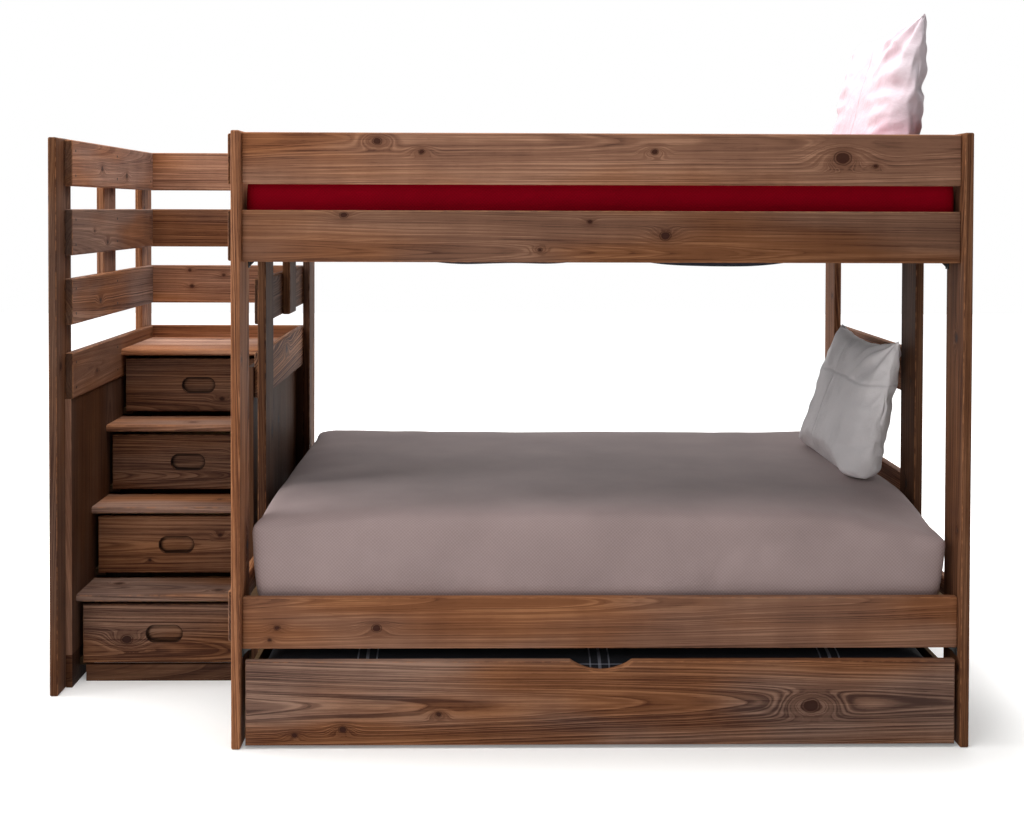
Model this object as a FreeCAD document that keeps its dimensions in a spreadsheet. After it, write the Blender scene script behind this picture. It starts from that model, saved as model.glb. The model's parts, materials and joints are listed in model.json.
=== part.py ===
"""Full-size bunk bed of stained pine planks with a drawer stair at its left end and a trundle below.

Millimetres, +Z up, +X along the bed to its head end, -Y towards the viewer.
The origin lies on the floor, in the middle of the whole footprint.
"""
import FreeCAD, Part
import math
import os
import re

import Sketcher

Vector = FreeCAD.Vector

doc = FreeCAD.newDocument("bunk_bed")
sheet = doc.addObject("Spreadsheet::Sheet", "Dims")

# Driving sizes, in millimetres unless the name says count, angle or share.
SIZES = {
    # Planks of the frame
    "plank_thick": 25,
    "plank_width": 140,
    "edge_round": 5,
    # Bunk frame
    "bunk_length": 1950,
    "bunk_depth": 1485,
    "post_height": 1670,
    "mid_post_y": 405,
    "rail_recess": 25,
    "end_setback": 88,
    "post_proud": 4,
    "board_gap": 70,
    "fourth_gap": 85,
    "low_level": 265,
    "head_level": 887,
    "head_low_level": 487,
    "batten_y": 872,
    # Slats, cleats and brackets
    "cleat_wide": 25,
    "cleat_tall": 40,
    "upper_cleat_tall": 20,
    "upper_cleat_lift": 2,
    "lower_deck_level": 378,
    "slat_thick": 20,
    "slat_wide": 90,
    "slat_count": 12,
    "slat_end_gap": 1,
    "bracket_leg": 22,
    "brace_leg": 42,
    "bracket_wide": 21,
    "bracket_thick": 3,
    # Stair guard
    "stair_clear": 568,
    "stair_post_lead": 113,
    "guard_setback": 75,
    "back_board_setback": 75,
    # Stair cabinet
    "panel_thick": 19,
    "base_tall": 100,
    "tread_thick": 22,
    "tread_round": 8,
    "base_rise": 37,
    "platform_lift": 96,
    "platform_deep": 425,
    "tread_run": 160,
    "tread_lap": 34,
    "nosing": 18,
    "toe_tall": 50,
    "toe_inset": 25,
    "cabinet_back_thick": 6,
    # Stair drawers
    "drawer_count": 4,
    "drawer_side_gap": 15,
    "drawer_top_gap": 13,
    "drawer_bottom_gap": 19,
    "drawer_front_thick": 20,
    "drawer_round": 4,
    "pull_long": 111,
    "pull_tall": 52,
    "pull_deep": 14,
    "pull_lip": 6,
    "pull_undercut": 6,
    "box_side_gap": 21,
    "box_back_gap": 7,
    "box_top_gap": 23,
    "box_lift": 8,
    "box_wall": 12,
    "box_floor": 6,
    "box_floor_lift": 10,
    "runner_wide": 34,
    "runner_tall": 20,
    # Trundle
    "trundle_end_gap": 12,
    "trundle_recess": 6,
    "trundle_tall": 228.5,
    "trundle_lift": 8,
    "scoop_wide": 170,
    "scoop_deep": 28,
    "trundle_deep": 975,
    "trundle_wall": 12,
    "trundle_wall_tall": 120,
    "trundle_floor_level": 65,
    "trundle_floor_thick": 12,
    "wheel_radius": 25,
    "wheel_wide": 18,
    "wheel_round": 3,
    "hub_radius": 9,
    "hub_stand": 1,
    "axle_radius": 4,
    "axle_gap": 0.4,
    "wheel_gap": 1.4,
    "housing_wall": 6,
    "housing_long": 60,
    "housing_foot": 12,
    "housing_inset": 40,
    "wheel_set_in": 120,
    # Bedding
    "mattress_end_gap": 22.5,
    "mattress_side_gap": 6.5,
    "lower_mattress_tall": 238,
    "upper_mattress_tall": 137,
    "trundle_mattress_end_gap": 13,
    "trundle_mattress_side_gap": 10,
    "trundle_mattress_tall": 136,
    "mattress_crown": 16,
    "mattress_bulge": 5,
    "mattress_end_draw": 14,
    "foundation_tall": 60,
    "foundation_round": 10,
    "soft_gap": 0.3,
    # Pillows, lying flat before they are stood up
    "pillow_front_share": 0.72,
    "pillow_back_share": 0.28,
    "pillow_gap": 0.8,
    "lower_pillow_long": 660,
    "lower_pillow_tall": 470,
    "lower_pillow_thick": 165,
    "lower_pillow_y": 770,
    "lower_pillow_off_end": 5,
    "lower_pillow_lean_angle": 19,
    "upper_pillow_long": 690,
    "upper_pillow_tall": 495,
    "upper_pillow_thick": 165,
    "upper_pillow_y": 580,
    "upper_pillow_off_end": 22,
    "upper_pillow_lean_angle": 7,
}

for row, (alias, value) in enumerate(SIZES.items(), start=1):
    sheet.set("A%d" % row, alias)
    sheet.set("B%d" % row, str(value))
    sheet.setAlias("B%d" % row, alias)
doc.recompute()

# Planes that the pieces share, written as formulas of the driving sizes
TOTAL_LONG = "(bunk_length + 5 * plank_thick + stair_clear)"
X_STAIR_POST = "(-%s / 2)" % TOTAL_LONG
X_STAIR_INNER = "(%s + plank_thick)" % X_STAIR_POST
X_LEFT_END = "(%s + stair_clear)" % X_STAIR_INNER
X_LEFT_POST = "(%s + plank_thick)" % X_LEFT_END
X_LEFT = "(%s + plank_thick)" % X_LEFT_POST
X_RIGHT = "(%s + bunk_length)" % X_LEFT
X_RIGHT_END = "(%s + plank_thick)" % X_RIGHT
X_PANEL_INNER = "(%s + panel_thick)" % X_STAIR_INNER
X_RIGHT_PANEL = "(%s - panel_thick)" % X_LEFT_END
Y_FRONT = "(-bunk_depth / 2)"
Y_BACK_POST = "(bunk_depth / 2 - plank_width)"
Y_MID_POST = "(%s + mid_post_y)" % Y_FRONT
Y_FRONT_RAIL = "(%s + rail_recess)" % Y_FRONT
Y_BACK_RAIL = "(bunk_depth / 2 - rail_recess - plank_thick)"
Y_BACK_BOARD = "(bunk_depth / 2 - back_board_setback)"
Y_FIRST_TREAD = "(%s - platform_deep - (drawer_count - 1) * tread_run)" % Y_BACK_BOARD
Y_STAIR_POST = "(%s - stair_post_lead)" % Y_FIRST_TREAD
Y_GUARD = "(%s + guard_setback)" % Y_STAIR_POST
Y_TRUNDLE = "(%s + trundle_recess)" % Y_FRONT
Y_TRUNDLE_BOX = "(%s + plank_thick)" % Y_TRUNDLE

# Sizes that follow from the planes and the gaps left beside a piece
RAIL_SPAN = "(bunk_depth - 2 * rail_recess - 2 * plank_thick)"
GUARD_SPAN = "(%s - %s)" % (Y_BACK_BOARD, Y_GUARD)
CABINET_CLEAR = "(%s - %s)" % (X_RIGHT_PANEL, X_PANEL_INNER)
DRAWER_WIDE = "(%s - 2 * drawer_side_gap)" % CABINET_CLEAR
DRAWER_TALL = "(tread_rise - tread_thick - drawer_top_gap - drawer_bottom_gap)"
BOX_WIDE = "(%s - 2 * box_side_gap)" % CABINET_CLEAR
BOX_TALL = "(%s - box_lift - box_top_gap)" % DRAWER_TALL
TRUNDLE_LONG = "(bunk_length - 2 * trundle_end_gap)"
MATTRESS_LONG = "(bunk_length - 2 * mattress_end_gap)"
MATTRESS_WIDE = "(%s - 2 * mattress_side_gap)" % RAIL_SPAN
TRUNDLE_MATTRESS_LONG = "(%s - 2 * trundle_wall - 2 * trundle_mattress_end_gap)" % TRUNDLE_LONG
TRUNDLE_MATTRESS_WIDE = "(trundle_deep - 2 * trundle_mattress_side_gap)"

# Heights of the boards, from the posts' tops down, and of the stair, from its platform down
LEVELS = {
    "guard_level": "(post_height - post_proud - plank_width)",
    "deck_level": "(guard_level - board_gap - plank_width)",
    "third_level": "(deck_level - board_gap - plank_width)",
    "fourth_level": "(third_level - fourth_gap - plank_width)",
    "tread_rise": "((fourth_level + platform_lift - base_rise) / drawer_count)",
}

DRAWERS = range(1, SIZES["drawer_count"] + 1)
nodes = []


def named(formula):
    """The formula with each level written out and each driving size as a cell of the sheet."""
    def cell(hit):
        word = hit.group(0)
        return named(LEVELS[word]) if word in LEVELS else "Dims." + word
    return re.sub(r"[a-z][a-z_]+", cell, formula)


def bind(item, path, formula):
    item.setExpression(path, named(formula))


def size(alias):
    """A driving size as a number, for the shapes that are worked out here."""
    return float(sheet.get(alias))


def measure(formula):
    """A formula of the driving sizes as a number."""
    return float(sheet.evalExpression(named(formula)))


def set_place(item, place):
    for axis, formula in zip("xyz", place):
        bind(item, "Placement.Base." + axis, formula)


def keep(item, label):
    """Marks a document object as one finished piece of the bed."""
    item.Label = label
    nodes.append(item)
    return item


def plane_of(body, role):
    return next(feature for feature in body.Origin.OriginFeatures if feature.Role == role)


def new_sketch(body, name, role):
    sketch = body.newObject("Sketcher::SketchObject", name)
    sketch.AttachmentSupport = (plane_of(body, role), [""])
    sketch.MapMode = "FlatFace"
    return sketch


def bound_distance(sketch, kind, *ends, formula):
    """A sketch dimension that follows a formula of the driving sizes."""
    index = sketch.addConstraint(Sketcher.Constraint(kind, *ends, measure(formula)))
    bind(sketch, "Constraints[%d]" % index, formula)


def draw_loop(sketch, corners):
    """A closed run of straight lines through corners, each joined to the next."""
    count = len(corners)
    for index in range(count):
        start = Vector(*corners[index], 0)
        end = Vector(*corners[(index + 1) % count], 0)
        sketch.addGeometry(Part.LineSegment(start, end))
    for index in range(count):
        sketch.addConstraint(Sketcher.Constraint("Coincident", index, 2, (index + 1) % count, 1))


def rectangle(body, name, role, wide, tall):
    """A rectangle with one corner at the body's own origin."""
    sketch = new_sketch(body, name, role)
    wide_now = measure(wide)
    tall_now = measure(tall)
    draw_loop(sketch, [(0, 0), (wide_now, 0), (wide_now, tall_now), (0, tall_now)])
    for line, direction in enumerate(("Horizontal", "Vertical", "Horizontal", "Vertical")):
        sketch.addConstraint(Sketcher.Constraint(direction, line))
    sketch.addConstraint(Sketcher.Constraint("Coincident", 0, 1, -1, 1))
    bound_distance(sketch, "DistanceX", 0, 1, 0, 2, formula=wide)
    bound_distance(sketch, "DistanceY", 1, 1, 1, 2, formula=tall)
    return sketch


def pad(body, name, sketch, deep, backwards=False):
    feature = body.newObject("PartDesign::Pad", name)
    feature.Profile = sketch
    bind(feature, "Length", deep)
    feature.Reversed = backwards
    return feature


def round_edges(body, base, radius, wanted=None):
    """Rounds the edges of base that pass the test, or all of them."""
    doc.recompute()
    edges = base.Shape.Edges
    picked = ["Edge%d" % (i + 1) for i, edge in enumerate(edges) if wanted is None or wanted(edge)]
    fillet = body.newObject("PartDesign::Fillet", body.Name + "_round")
    fillet.Base = (base, picked)
    bind(fillet, "Radius", radius)
    return fillet


# For each way a broad face can look: its plane, and the axes across it, up it and through it
FACINGS = {"X": ("YZ_Plane", "YZX"), "Y": ("XZ_Plane", "XZY"), "Z": ("XY_Plane", "XYZ")}


def plank(name, facing, spans, place, radius="edge_round", wanted=None):
    """A plank whose broad face looks along one axis, with its edges rounded over."""
    body = doc.addObject("PartDesign::Body", name)
    role, axes = FACINGS[facing]
    span = dict(zip("XYZ", spans))
    wide, tall, deep = [span[axis] for axis in axes]
    outline = rectangle(body, name + "_outline", role, wide, tall)
    thickness = pad(body, name + "_pad", outline, deep, facing == "Y")
    round_edges(body, thickness, radius, wanted)
    set_place(body, place)
    return body


def block(name, spans, place):
    """A square-edged piece of wood."""
    box = doc.addObject("Part::Box", name)
    for side, formula in zip(("Length", "Width", "Height"), spans):
        bind(box, side, formula)
    set_place(box, place)
    return box


def group(name, members):
    """Like pieces that share one name."""
    compound = doc.addObject("Part::Compound", name)
    compound.Links = members
    return compound


def build_posts():
    """Three plank posts at each end of the bunk and two at the outer side of the stair."""
    spans = ("plank_thick", "plank_width", "post_height")
    for side, x in (("left", X_LEFT_POST), ("right", X_RIGHT)):
        for spot, y in (("front", Y_FRONT), ("mid", Y_MID_POST), ("back", Y_BACK_POST)):
            label = "post_%s_%s" % (spot, side)
            keep(plank(label, "X", spans, (x, y, "0")), label)
    for spot, y in (("front", Y_STAIR_POST), ("back", Y_BACK_POST)):
        label = "stair_post_" + spot
        keep(plank(label, "X", spans, (X_STAIR_POST, y, "0")), label)


def build_rails():
    """Guard rails and side rails between the end posts, front and back."""
    spans = ("bunk_length", "plank_thick", "plank_width")
    levels = {"guard_rail": "guard_level", "upper_side_rail": "deck_level", "lower_side_rail": "low_level"}
    for kind, level in levels.items():
        for spot, y in (("front", Y_FRONT_RAIL), ("back", Y_BACK_RAIL)):
            label = "%s_%s" % (kind, spot)
            keep(plank(label, "Y", spans, (X_LEFT, y, level)), label)


def end_plank(label, x, start, end, level):
    spans = ("plank_thick", "%s - %s" % (end, start), "plank_width")
    keep(plank(label, "X", spans, (x, start, level)), label)


def build_ends():
    """Planks across the outer faces of the posts, set in from the posts' edges."""
    near = "(%s + end_setback)" % Y_FRONT
    far = "(bunk_depth / 2 - end_setback)"
    past_mid = "(%s + end_setback)" % Y_MID_POST
    mid_far = "(%s + plank_width - end_setback)" % Y_MID_POST
    end_plank("left_end_board_top", X_LEFT_END, near, mid_far, "guard_level")
    end_plank("left_end_board_second", X_LEFT_END, near, far, "deck_level")
    end_plank("left_end_board_third", X_LEFT_END, past_mid, far, "third_level")
    end_plank("left_end_board_fourth", X_LEFT_END, past_mid, far, "fourth_level")
    end_plank("left_end_board_low", X_LEFT_END, near, far, "low_level")
    end_plank("right_end_board_top", X_RIGHT_END, near, far, "guard_level")
    end_plank("right_end_board_second", X_RIGHT_END, near, far, "deck_level")
    end_plank("right_end_board_head", X_RIGHT_END, past_mid, far, "head_level")
    end_plank("right_end_board_mid", X_RIGHT_END, past_mid, far, "head_low_level")
    end_plank("right_end_board_low", X_RIGHT_END, near, far, "low_level")
    batten_y = "(%s + batten_y)" % Y_FRONT
    spans = ("plank_thick", "plank_width", "deck_level + plank_width - third_level")
    batten = plank("left_end_batten", "X", spans, (X_LEFT_POST, batten_y, "third_level"))
    keep(batten, "left_end_batten")


def build_deck():
    """Cleats along the side rails and the slats that lie across the lower pair."""
    cleats = []
    lower_z = "lower_deck_level - slat_thick - cleat_tall"
    upper_z = "deck_level + upper_cleat_lift"
    for kind, tall, z in (("lower", "cleat_tall", lower_z), ("upper", "upper_cleat_tall", upper_z)):
        front_y = "%s + plank_thick" % Y_FRONT_RAIL
        back_y = "%s - cleat_wide" % Y_BACK_RAIL
        for spot, y in (("front", front_y), ("back", back_y)):
            name = "%s_cleat_%s" % (kind, spot)
            cleats.append(block(name, ("bunk_length", "cleat_wide", tall), (X_LEFT, y, z)))
    keep(group("cleat_set", cleats), "slat_cleats")
    slats = []
    pitch = "((bunk_length - slat_wide - 2 * slat_end_gap) / (slat_count - 1))"
    spans = ("slat_wide", "%s - 2 * slat_end_gap" % RAIL_SPAN, "slat_thick")
    for index in range(int(size("slat_count"))):
        x = "%s + slat_end_gap + %d * %s" % (X_LEFT, index, pitch)
        y = "%s + plank_thick + slat_end_gap" % Y_FRONT_RAIL
        slats.append(block("slat_%d" % (index + 1), spans, (x, y, "lower_deck_level - slat_thick")))
    keep(group("slat_set", slats), "lower_slats")


def bracket(name, to_right, y, z, leg_size):
    """A steel angle on a post: one leg on its face, one under what it carries, a web between."""
    body = doc.addObject("PartDesign::Body", name)
    side = new_sketch(body, name + "_angle", "XZ_Plane")
    leg = size(leg_size)
    thick = size("bracket_thick")
    draw_loop(side, [(0, 0), (leg, 0), (leg, -thick), (thick, -thick), (thick, -leg), (0, -leg)])
    for line, direction in enumerate(("Horizontal", "Vertical") * 3):
        side.addConstraint(Sketcher.Constraint(direction, line))
    side.addConstraint(Sketcher.Constraint("Coincident", 0, 1, -1, 1))
    bound_distance(side, "DistanceX", 0, 1, 0, 2, formula=leg_size)
    bound_distance(side, "DistanceY", 1, 2, 1, 1, formula="bracket_thick")
    bound_distance(side, "DistanceY", 5, 1, 5, 2, formula=leg_size)
    bound_distance(side, "DistanceX", 4, 2, 4, 1, formula="bracket_thick")
    pad(body, name + "_legs", side, "bracket_wide", True)
    web = new_sketch(body, name + "_web_outline", "XZ_Plane")
    web.AttachmentOffset = FreeCAD.Placement(Vector(0, 0, 0), FreeCAD.Rotation())
    bind(web, "AttachmentOffset.Base.z", "-(bracket_wide + bracket_thick) / 2")
    draw_loop(web, [(0, 0), (leg, 0), (0, -leg)])
    web.addConstraint(Sketcher.Constraint("Coincident", 0, 1, -1, 1))
    web.addConstraint(Sketcher.Constraint("Horizontal", 0))
    web.addConstraint(Sketcher.Constraint("Vertical", 2))
    bound_distance(web, "DistanceX", 0, 1, 0, 2, formula=leg_size)
    bound_distance(web, "DistanceY", 2, 1, 2, 2, formula=leg_size)
    pad(body, name + "_web", web, "bracket_thick")
    set_place(body, (X_RIGHT if to_right else X_LEFT, y, z))
    if to_right:
        half_turn_angle = 180
        body.Placement.Rotation = FreeCAD.Rotation(Vector(0, 0, 1), half_turn_angle)
        bind(body, "Placement.Base.y", "%s + bracket_wide" % y)
    return body


def build_brackets():
    """Angle brackets under the ends of the lower side rails, and longer ones that brace the foundation."""
    inset = "(plank_thick - bracket_wide) / 2"
    brace_level = "(deck_level + upper_cleat_lift + upper_cleat_tall)"
    seats = (
        ("%s + %s" % (Y_FRONT_RAIL, inset), "low_level", "bracket_leg"),
        ("%s + %s" % (Y_BACK_RAIL, inset), "low_level", "bracket_leg"),
        ("%s + plank_width - bracket_wide" % Y_FRONT, brace_level, "brace_leg"),
        (Y_BACK_POST, brace_level, "brace_leg"),
    )
    brackets = []
    for y, level, leg_size in seats:
        for to_right in (False, True):
            name = "bracket_%d" % (len(brackets) + 1)
            brackets.append(bracket(name, to_right, y, level, leg_size))
    keep(group("bracket_set", brackets), "rail_brackets")


def build_stair_guard():
    """Side planks inside the stair posts, their batten, and the planks and thin panel that close the back."""
    levels = ("guard_level", "deck_level", "third_level", "fourth_level")
    spans = ("plank_thick", GUARD_SPAN, "plank_width")
    for index, level in enumerate(levels, start=1):
        label = "stair_guard_board_%d" % index
        keep(plank(label, "X", spans, (X_STAIR_INNER, Y_GUARD, level)), label)
    spans = ("plank_thick", "plank_width", "guard_level + plank_width - third_level")
    place = (X_STAIR_POST, "%s + batten_y" % Y_FRONT, "third_level")
    keep(plank("stair_guard_batten", "X", spans, place), "stair_guard_batten")
    spans = ("stair_clear + plank_thick", "plank_thick", "plank_width")
    backs = []
    for index, level in enumerate(levels, start=1):
        place = (X_STAIR_INNER, Y_BACK_BOARD, level)
        backs.append(plank("stair_back_board_%d" % index, "Y", spans, place))
    panel_spans = ("stair_clear", "cabinet_back_thick", "fourth_level")
    backs.append(block("cabinet_back", panel_spans, (X_STAIR_INNER, Y_BACK_BOARD, "0")))
    keep(group("stair_back_board_set", backs), "stair_back_boards")


def tread_top(step):
    return "(base_rise + %d * tread_rise)" % step


def tread_y(step):
    return "(%s + %d * tread_run)" % (Y_FIRST_TREAD, step - 1)


def drawer_y(step):
    """Front face of a drawer, behind the tread's nosing."""
    return "(%s + nosing)" % tread_y(step)


def drawer_z(step):
    return "(%s - tread_thick - drawer_top_gap - %s)" % (tread_top(step), DRAWER_TALL)


# The boxes end just short of the back planks, so the highest one sets the depth of all
BOX_DEEP = "(%s - %s - drawer_front_thick - box_back_gap)" % (Y_BACK_BOARD, drawer_y(DRAWERS[-1]))


def is_nosing(edge):
    """True for the two long edges at the front of a tread."""
    ends = [vertex.Point for vertex in edge.Vertexes]
    return max(point.y for point in ends) < size("edge_round") and abs(ends[0].x - ends[1].x) > size("nosing")


def tread(label, left, deep, step):
    """A step board with a rounded nosing."""
    spans = ("%s - %s" % (X_RIGHT_PANEL, left), deep, "tread_thick")
    place = (left, tread_y(step), "%s - tread_thick" % tread_top(step))
    keep(plank(label, "Z", spans, place, "tread_round", is_nosing), label)


def right_panel():
    """The stair's inner side: as low as the first tread up to the middle post, a full wall behind it."""
    body = doc.addObject("PartDesign::Body", "stair_panel_right")
    sketch = new_sketch(body, "stair_panel_right_outline", "YZ_Plane")
    face = "(%s + drawer_front_thick)" % drawer_y(DRAWERS[0])
    whole = "(%s - %s)" % (Y_BACK_BOARD, face)
    lead = "(%s + plank_width / 2 - %s)" % (Y_MID_POST, face)
    low = tread_top(DRAWERS[0])
    high = tread_top(DRAWERS[-1])
    deep = measure(whole)
    wall = measure(lead)
    top = measure(high)
    corners = [(0, 0), (0, measure(low)), (wall, measure(low)), (wall, top), (deep, top), (deep, 0)]
    draw_loop(sketch, corners)
    for line in range(len(corners)):
        sketch.addConstraint(Sketcher.Constraint("Horizontal" if line % 2 else "Vertical", line))
    sketch.addConstraint(Sketcher.Constraint("Coincident", 0, 1, -1, 1))
    bound_distance(sketch, "DistanceY", 0, 1, 0, 2, formula=low)
    bound_distance(sketch, "DistanceX", 1, 1, 1, 2, formula=lead)
    bound_distance(sketch, "DistanceY", 2, 1, 2, 2, formula="%s - %s" % (high, low))
    floor_line = len(corners) - 1
    bound_distance(sketch, "DistanceX", floor_line, 2, floor_line, 1, formula=whole)
    pad(body, "stair_panel_right_pad", sketch, "panel_thick")
    set_place(body, (X_RIGHT_PANEL, face, "0"))
    return body


def build_stair_cabinet():
    """Side panels, floor boards, treads and the drawers' runners."""
    left_spans = ("panel_thick", GUARD_SPAN, "fourth_level - base_tall")
    keep(block("left_panel", left_spans, (X_STAIR_INNER, Y_GUARD, "base_tall")), "stair_panel_left")
    keep(right_panel(), "stair_panel_right")
    base = block("left_base", ("panel_thick", GUARD_SPAN, "base_tall"), (X_STAIR_INNER, Y_GUARD, "0"))
    toe_left = "(%s + toe_inset)" % X_PANEL_INNER
    toe_spans = ("%s - %s" % (X_LEFT_END, toe_left), "panel_thick", "toe_tall")
    toe_y = "%s + drawer_front_thick - panel_thick" % drawer_y(1)
    toe = block("toe_board", toe_spans, (toe_left, toe_y, "0"))
    keep(group("base_board_set", [base, toe]), "stair_base_boards")
    for step in DRAWERS[:-1]:
        tread("stair_tread_%d" % step, X_PANEL_INNER, "tread_run + tread_lap", step)
    last = DRAWERS[-1]
    guard_face = "(%s + plank_thick)" % X_STAIR_INNER
    tread("stair_platform", guard_face, "%s - %s" % (Y_BACK_BOARD, tread_y(last)), last)
    runners = []
    for step in DRAWERS:
        y = "%s + drawer_front_thick" % drawer_y(step)
        z = "%s + box_lift - runner_tall" % drawer_z(step)
        for side, x in (("left", X_PANEL_INNER), ("right", "%s - runner_wide" % X_RIGHT_PANEL)):
            name = "runner_%s_%d" % (side, step)
            runners.append(block(name, ("runner_wide", BOX_DEEP, "runner_tall"), (x, y, z)))
    keep(group("runner_set", runners), "drawer_runners")


def stadium(body, name, grow, back):
    """A slot outline with round ends in the middle of a drawer front, set back from its face."""
    sketch = new_sketch(body, name, "XZ_Plane")
    bind(sketch, "AttachmentOffset.Base.z", "-(%s)" % back)
    tall = "(pull_tall + 2 * %s)" % grow
    radius = measure(tall) / 2
    half = (size("pull_long") - size("pull_tall")) / 2
    middle = Vector(measure(DRAWER_WIDE) / 2, measure(DRAWER_TALL) / 2, 0)
    up = Vector(0, radius, 0)
    reach = Vector(half, 0, 0)
    nose = Vector(half + radius, 0, 0)
    sketch.addGeometry(Part.LineSegment(middle - reach - up, middle + reach - up))
    sketch.addGeometry(Part.Arc(middle + reach - up, middle + nose, middle + reach + up))
    sketch.addGeometry(Part.LineSegment(middle + reach + up, middle - reach + up))
    sketch.addGeometry(Part.Arc(middle - reach + up, middle - nose, middle - reach - up))
    for joint in ((0, 2, 1, 1), (1, 2, 2, 1), (2, 2, 3, 1), (3, 2, 0, 1)):
        sketch.addConstraint(Sketcher.Constraint("Tangent", *joint))
    sketch.addConstraint(Sketcher.Constraint("Horizontal", 0))
    sketch.addConstraint(Sketcher.Constraint("Equal", 1, 3))
    bound_distance(sketch, "Radius", 1, formula="%s / 2" % tall)
    bound_distance(sketch, "DistanceX", 0, 1, 0, 2, formula="pull_long - pull_tall")
    bound_distance(sketch, "DistanceX", -1, 1, 3, 3, formula="(%s - pull_long + pull_tall) / 2" % DRAWER_WIDE)
    bound_distance(sketch, "DistanceY", -1, 1, 3, 3, formula="%s / 2" % DRAWER_TALL)
    return sketch


def near_face(edge, rounding):
    """True for an edge that lies in the front face, closer to it than its own rounding."""
    return max(vertex.Y for vertex in edge.Vertexes) < size(rounding)


def drawer_front(step):
    """A false front with a finger pull: a slot routed in its face and undercut behind a lip."""
    name = "drawer_front_%d" % step
    body = doc.addObject("PartDesign::Body", name)
    outline = rectangle(body, name + "_outline", "XZ_Plane", DRAWER_WIDE, DRAWER_TALL)
    thickness = pad(body, name + "_pad", outline, "drawer_front_thick", True)
    round_edges(body, thickness, "drawer_round", lambda edge: near_face(edge, "drawer_round"))
    for part, grow, back, deep in (("slot", "0", "0", "pull_deep"),
                                   ("undercut", "pull_undercut", "pull_lip", "pull_deep - pull_lip")):
        pocket = body.newObject("PartDesign::Pocket", "%s_%s" % (name, part))
        pocket.Profile = stadium(body, "%s_%s_outline" % (name, part), grow, back)
        bind(pocket, "Length", deep)
    set_place(body, ("%s + drawer_side_gap" % X_PANEL_INNER, drawer_y(step), drawer_z(step)))
    return body


def drawer_box(step):
    """Two sides, two ends and a floor panel let in above the sides' lower edges."""
    name = "drawer_%d" % step
    left = "(%s + box_side_gap)" % X_PANEL_INNER
    near = "(%s + drawer_front_thick)" % drawer_y(step)
    low = "(%s + box_lift)" % drawer_z(step)
    clear_wide = "%s - 2 * box_wall" % BOX_WIDE
    clear_deep = "%s - 2 * box_wall" % BOX_DEEP
    inner_x = "%s + box_wall" % left
    side_spans = ("box_wall", BOX_DEEP, BOX_TALL)
    end_spans = (clear_wide, "box_wall", BOX_TALL)
    walls = [
        block(name + "_side_left", side_spans, (left, near, low)),
        block(name + "_side_right", side_spans, ("%s + %s - box_wall" % (left, BOX_WIDE), near, low)),
        block(name + "_end_front", end_spans, (inner_x, near, low)),
        block(name + "_end_back", end_spans, (inner_x, "%s + %s - box_wall" % (near, BOX_DEEP), low)),
        block(name + "_floor", (clear_wide, clear_deep, "box_floor"),
              (inner_x, "%s + box_wall" % near, "%s + box_floor_lift" % low)),
    ]
    return group(name + "_box_set", walls)


def build_drawers():
    for step in DRAWERS:
        keep(drawer_front(step), "drawer_front_%d" % step)
        keep(drawer_box(step), "drawer_box_%d" % step)


def trundle_front():
    """The wide front board, with a scoop for the hand in its top edge."""
    name = "trundle_front"
    body = doc.addObject("PartDesign::Body", name)
    sketch = new_sketch(body, name + "_outline", "XZ_Plane")
    long = measure(TRUNDLE_LONG)
    tall = size("trundle_tall")
    half = size("scoop_wide") / 2
    deep = size("scoop_deep")
    corners = [(0, tall), (0, 0), (long, 0), (long, tall), (long / 2 + half, tall), (long / 2 - half, tall)]
    points = [Vector(x, y, 0) for x, y in corners]
    for start, end in zip(points[:4], points[1:5]):
        sketch.addGeometry(Part.LineSegment(start, end))
    sketch.addGeometry(Part.LineSegment(points[5], points[0]))
    sketch.addGeometry(Part.Arc(points[5], Vector(long / 2, tall - deep, 0), points[4]))
    for joint in ((0, 2, 1, 1), (1, 2, 2, 1), (2, 2, 3, 1), (4, 2, 0, 1), (5, 1, 4, 1), (5, 2, 3, 2)):
        sketch.addConstraint(Sketcher.Constraint("Coincident", *joint))
    for line, direction in enumerate(("Vertical", "Horizontal", "Vertical", "Horizontal", "Horizontal")):
        sketch.addConstraint(Sketcher.Constraint(direction, line))
    sketch.addConstraint(Sketcher.Constraint("Coincident", 1, 1, -1, 1))
    sketch.addConstraint(Sketcher.Constraint("Equal", 3, 4))
    bound_distance(sketch, "DistanceX", 1, 1, 1, 2, formula=TRUNDLE_LONG)
    bound_distance(sketch, "DistanceY", 2, 1, 2, 2, formula="trundle_tall")
    bound_distance(sketch, "DistanceX", 4, 1, 3, 2, formula="scoop_wide")
    arc_radius = "(scoop_wide * scoop_wide / 4 + scoop_deep * scoop_deep) / (2 * scoop_deep)"
    bound_distance(sketch, "Radius", 5, formula=arc_radius)
    thickness = pad(body, name + "_pad", sketch, "plank_thick", True)
    round_edges(body, thickness, "edge_round", lambda edge: near_face(edge, "edge_round"))
    set_place(body, ("%s + trundle_end_gap" % X_LEFT, Y_TRUNDLE, "trundle_lift"))
    return body


def wheel_places():
    """Middle of each wheel: front and back pair, left and right of the trundle."""
    left = "(%s + trundle_end_gap + trundle_wall + housing_inset)" % X_LEFT
    right = "(%s - trundle_end_gap - trundle_wall - housing_inset)" % X_RIGHT
    near = "(%s + wheel_set_in)" % Y_TRUNDLE_BOX
    far = "(%s + trundle_deep - wheel_set_in)" % Y_TRUNDLE_BOX
    return {"front": [(left, near), (right, near)], "back": [(left, far), (right, far)]}


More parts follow.
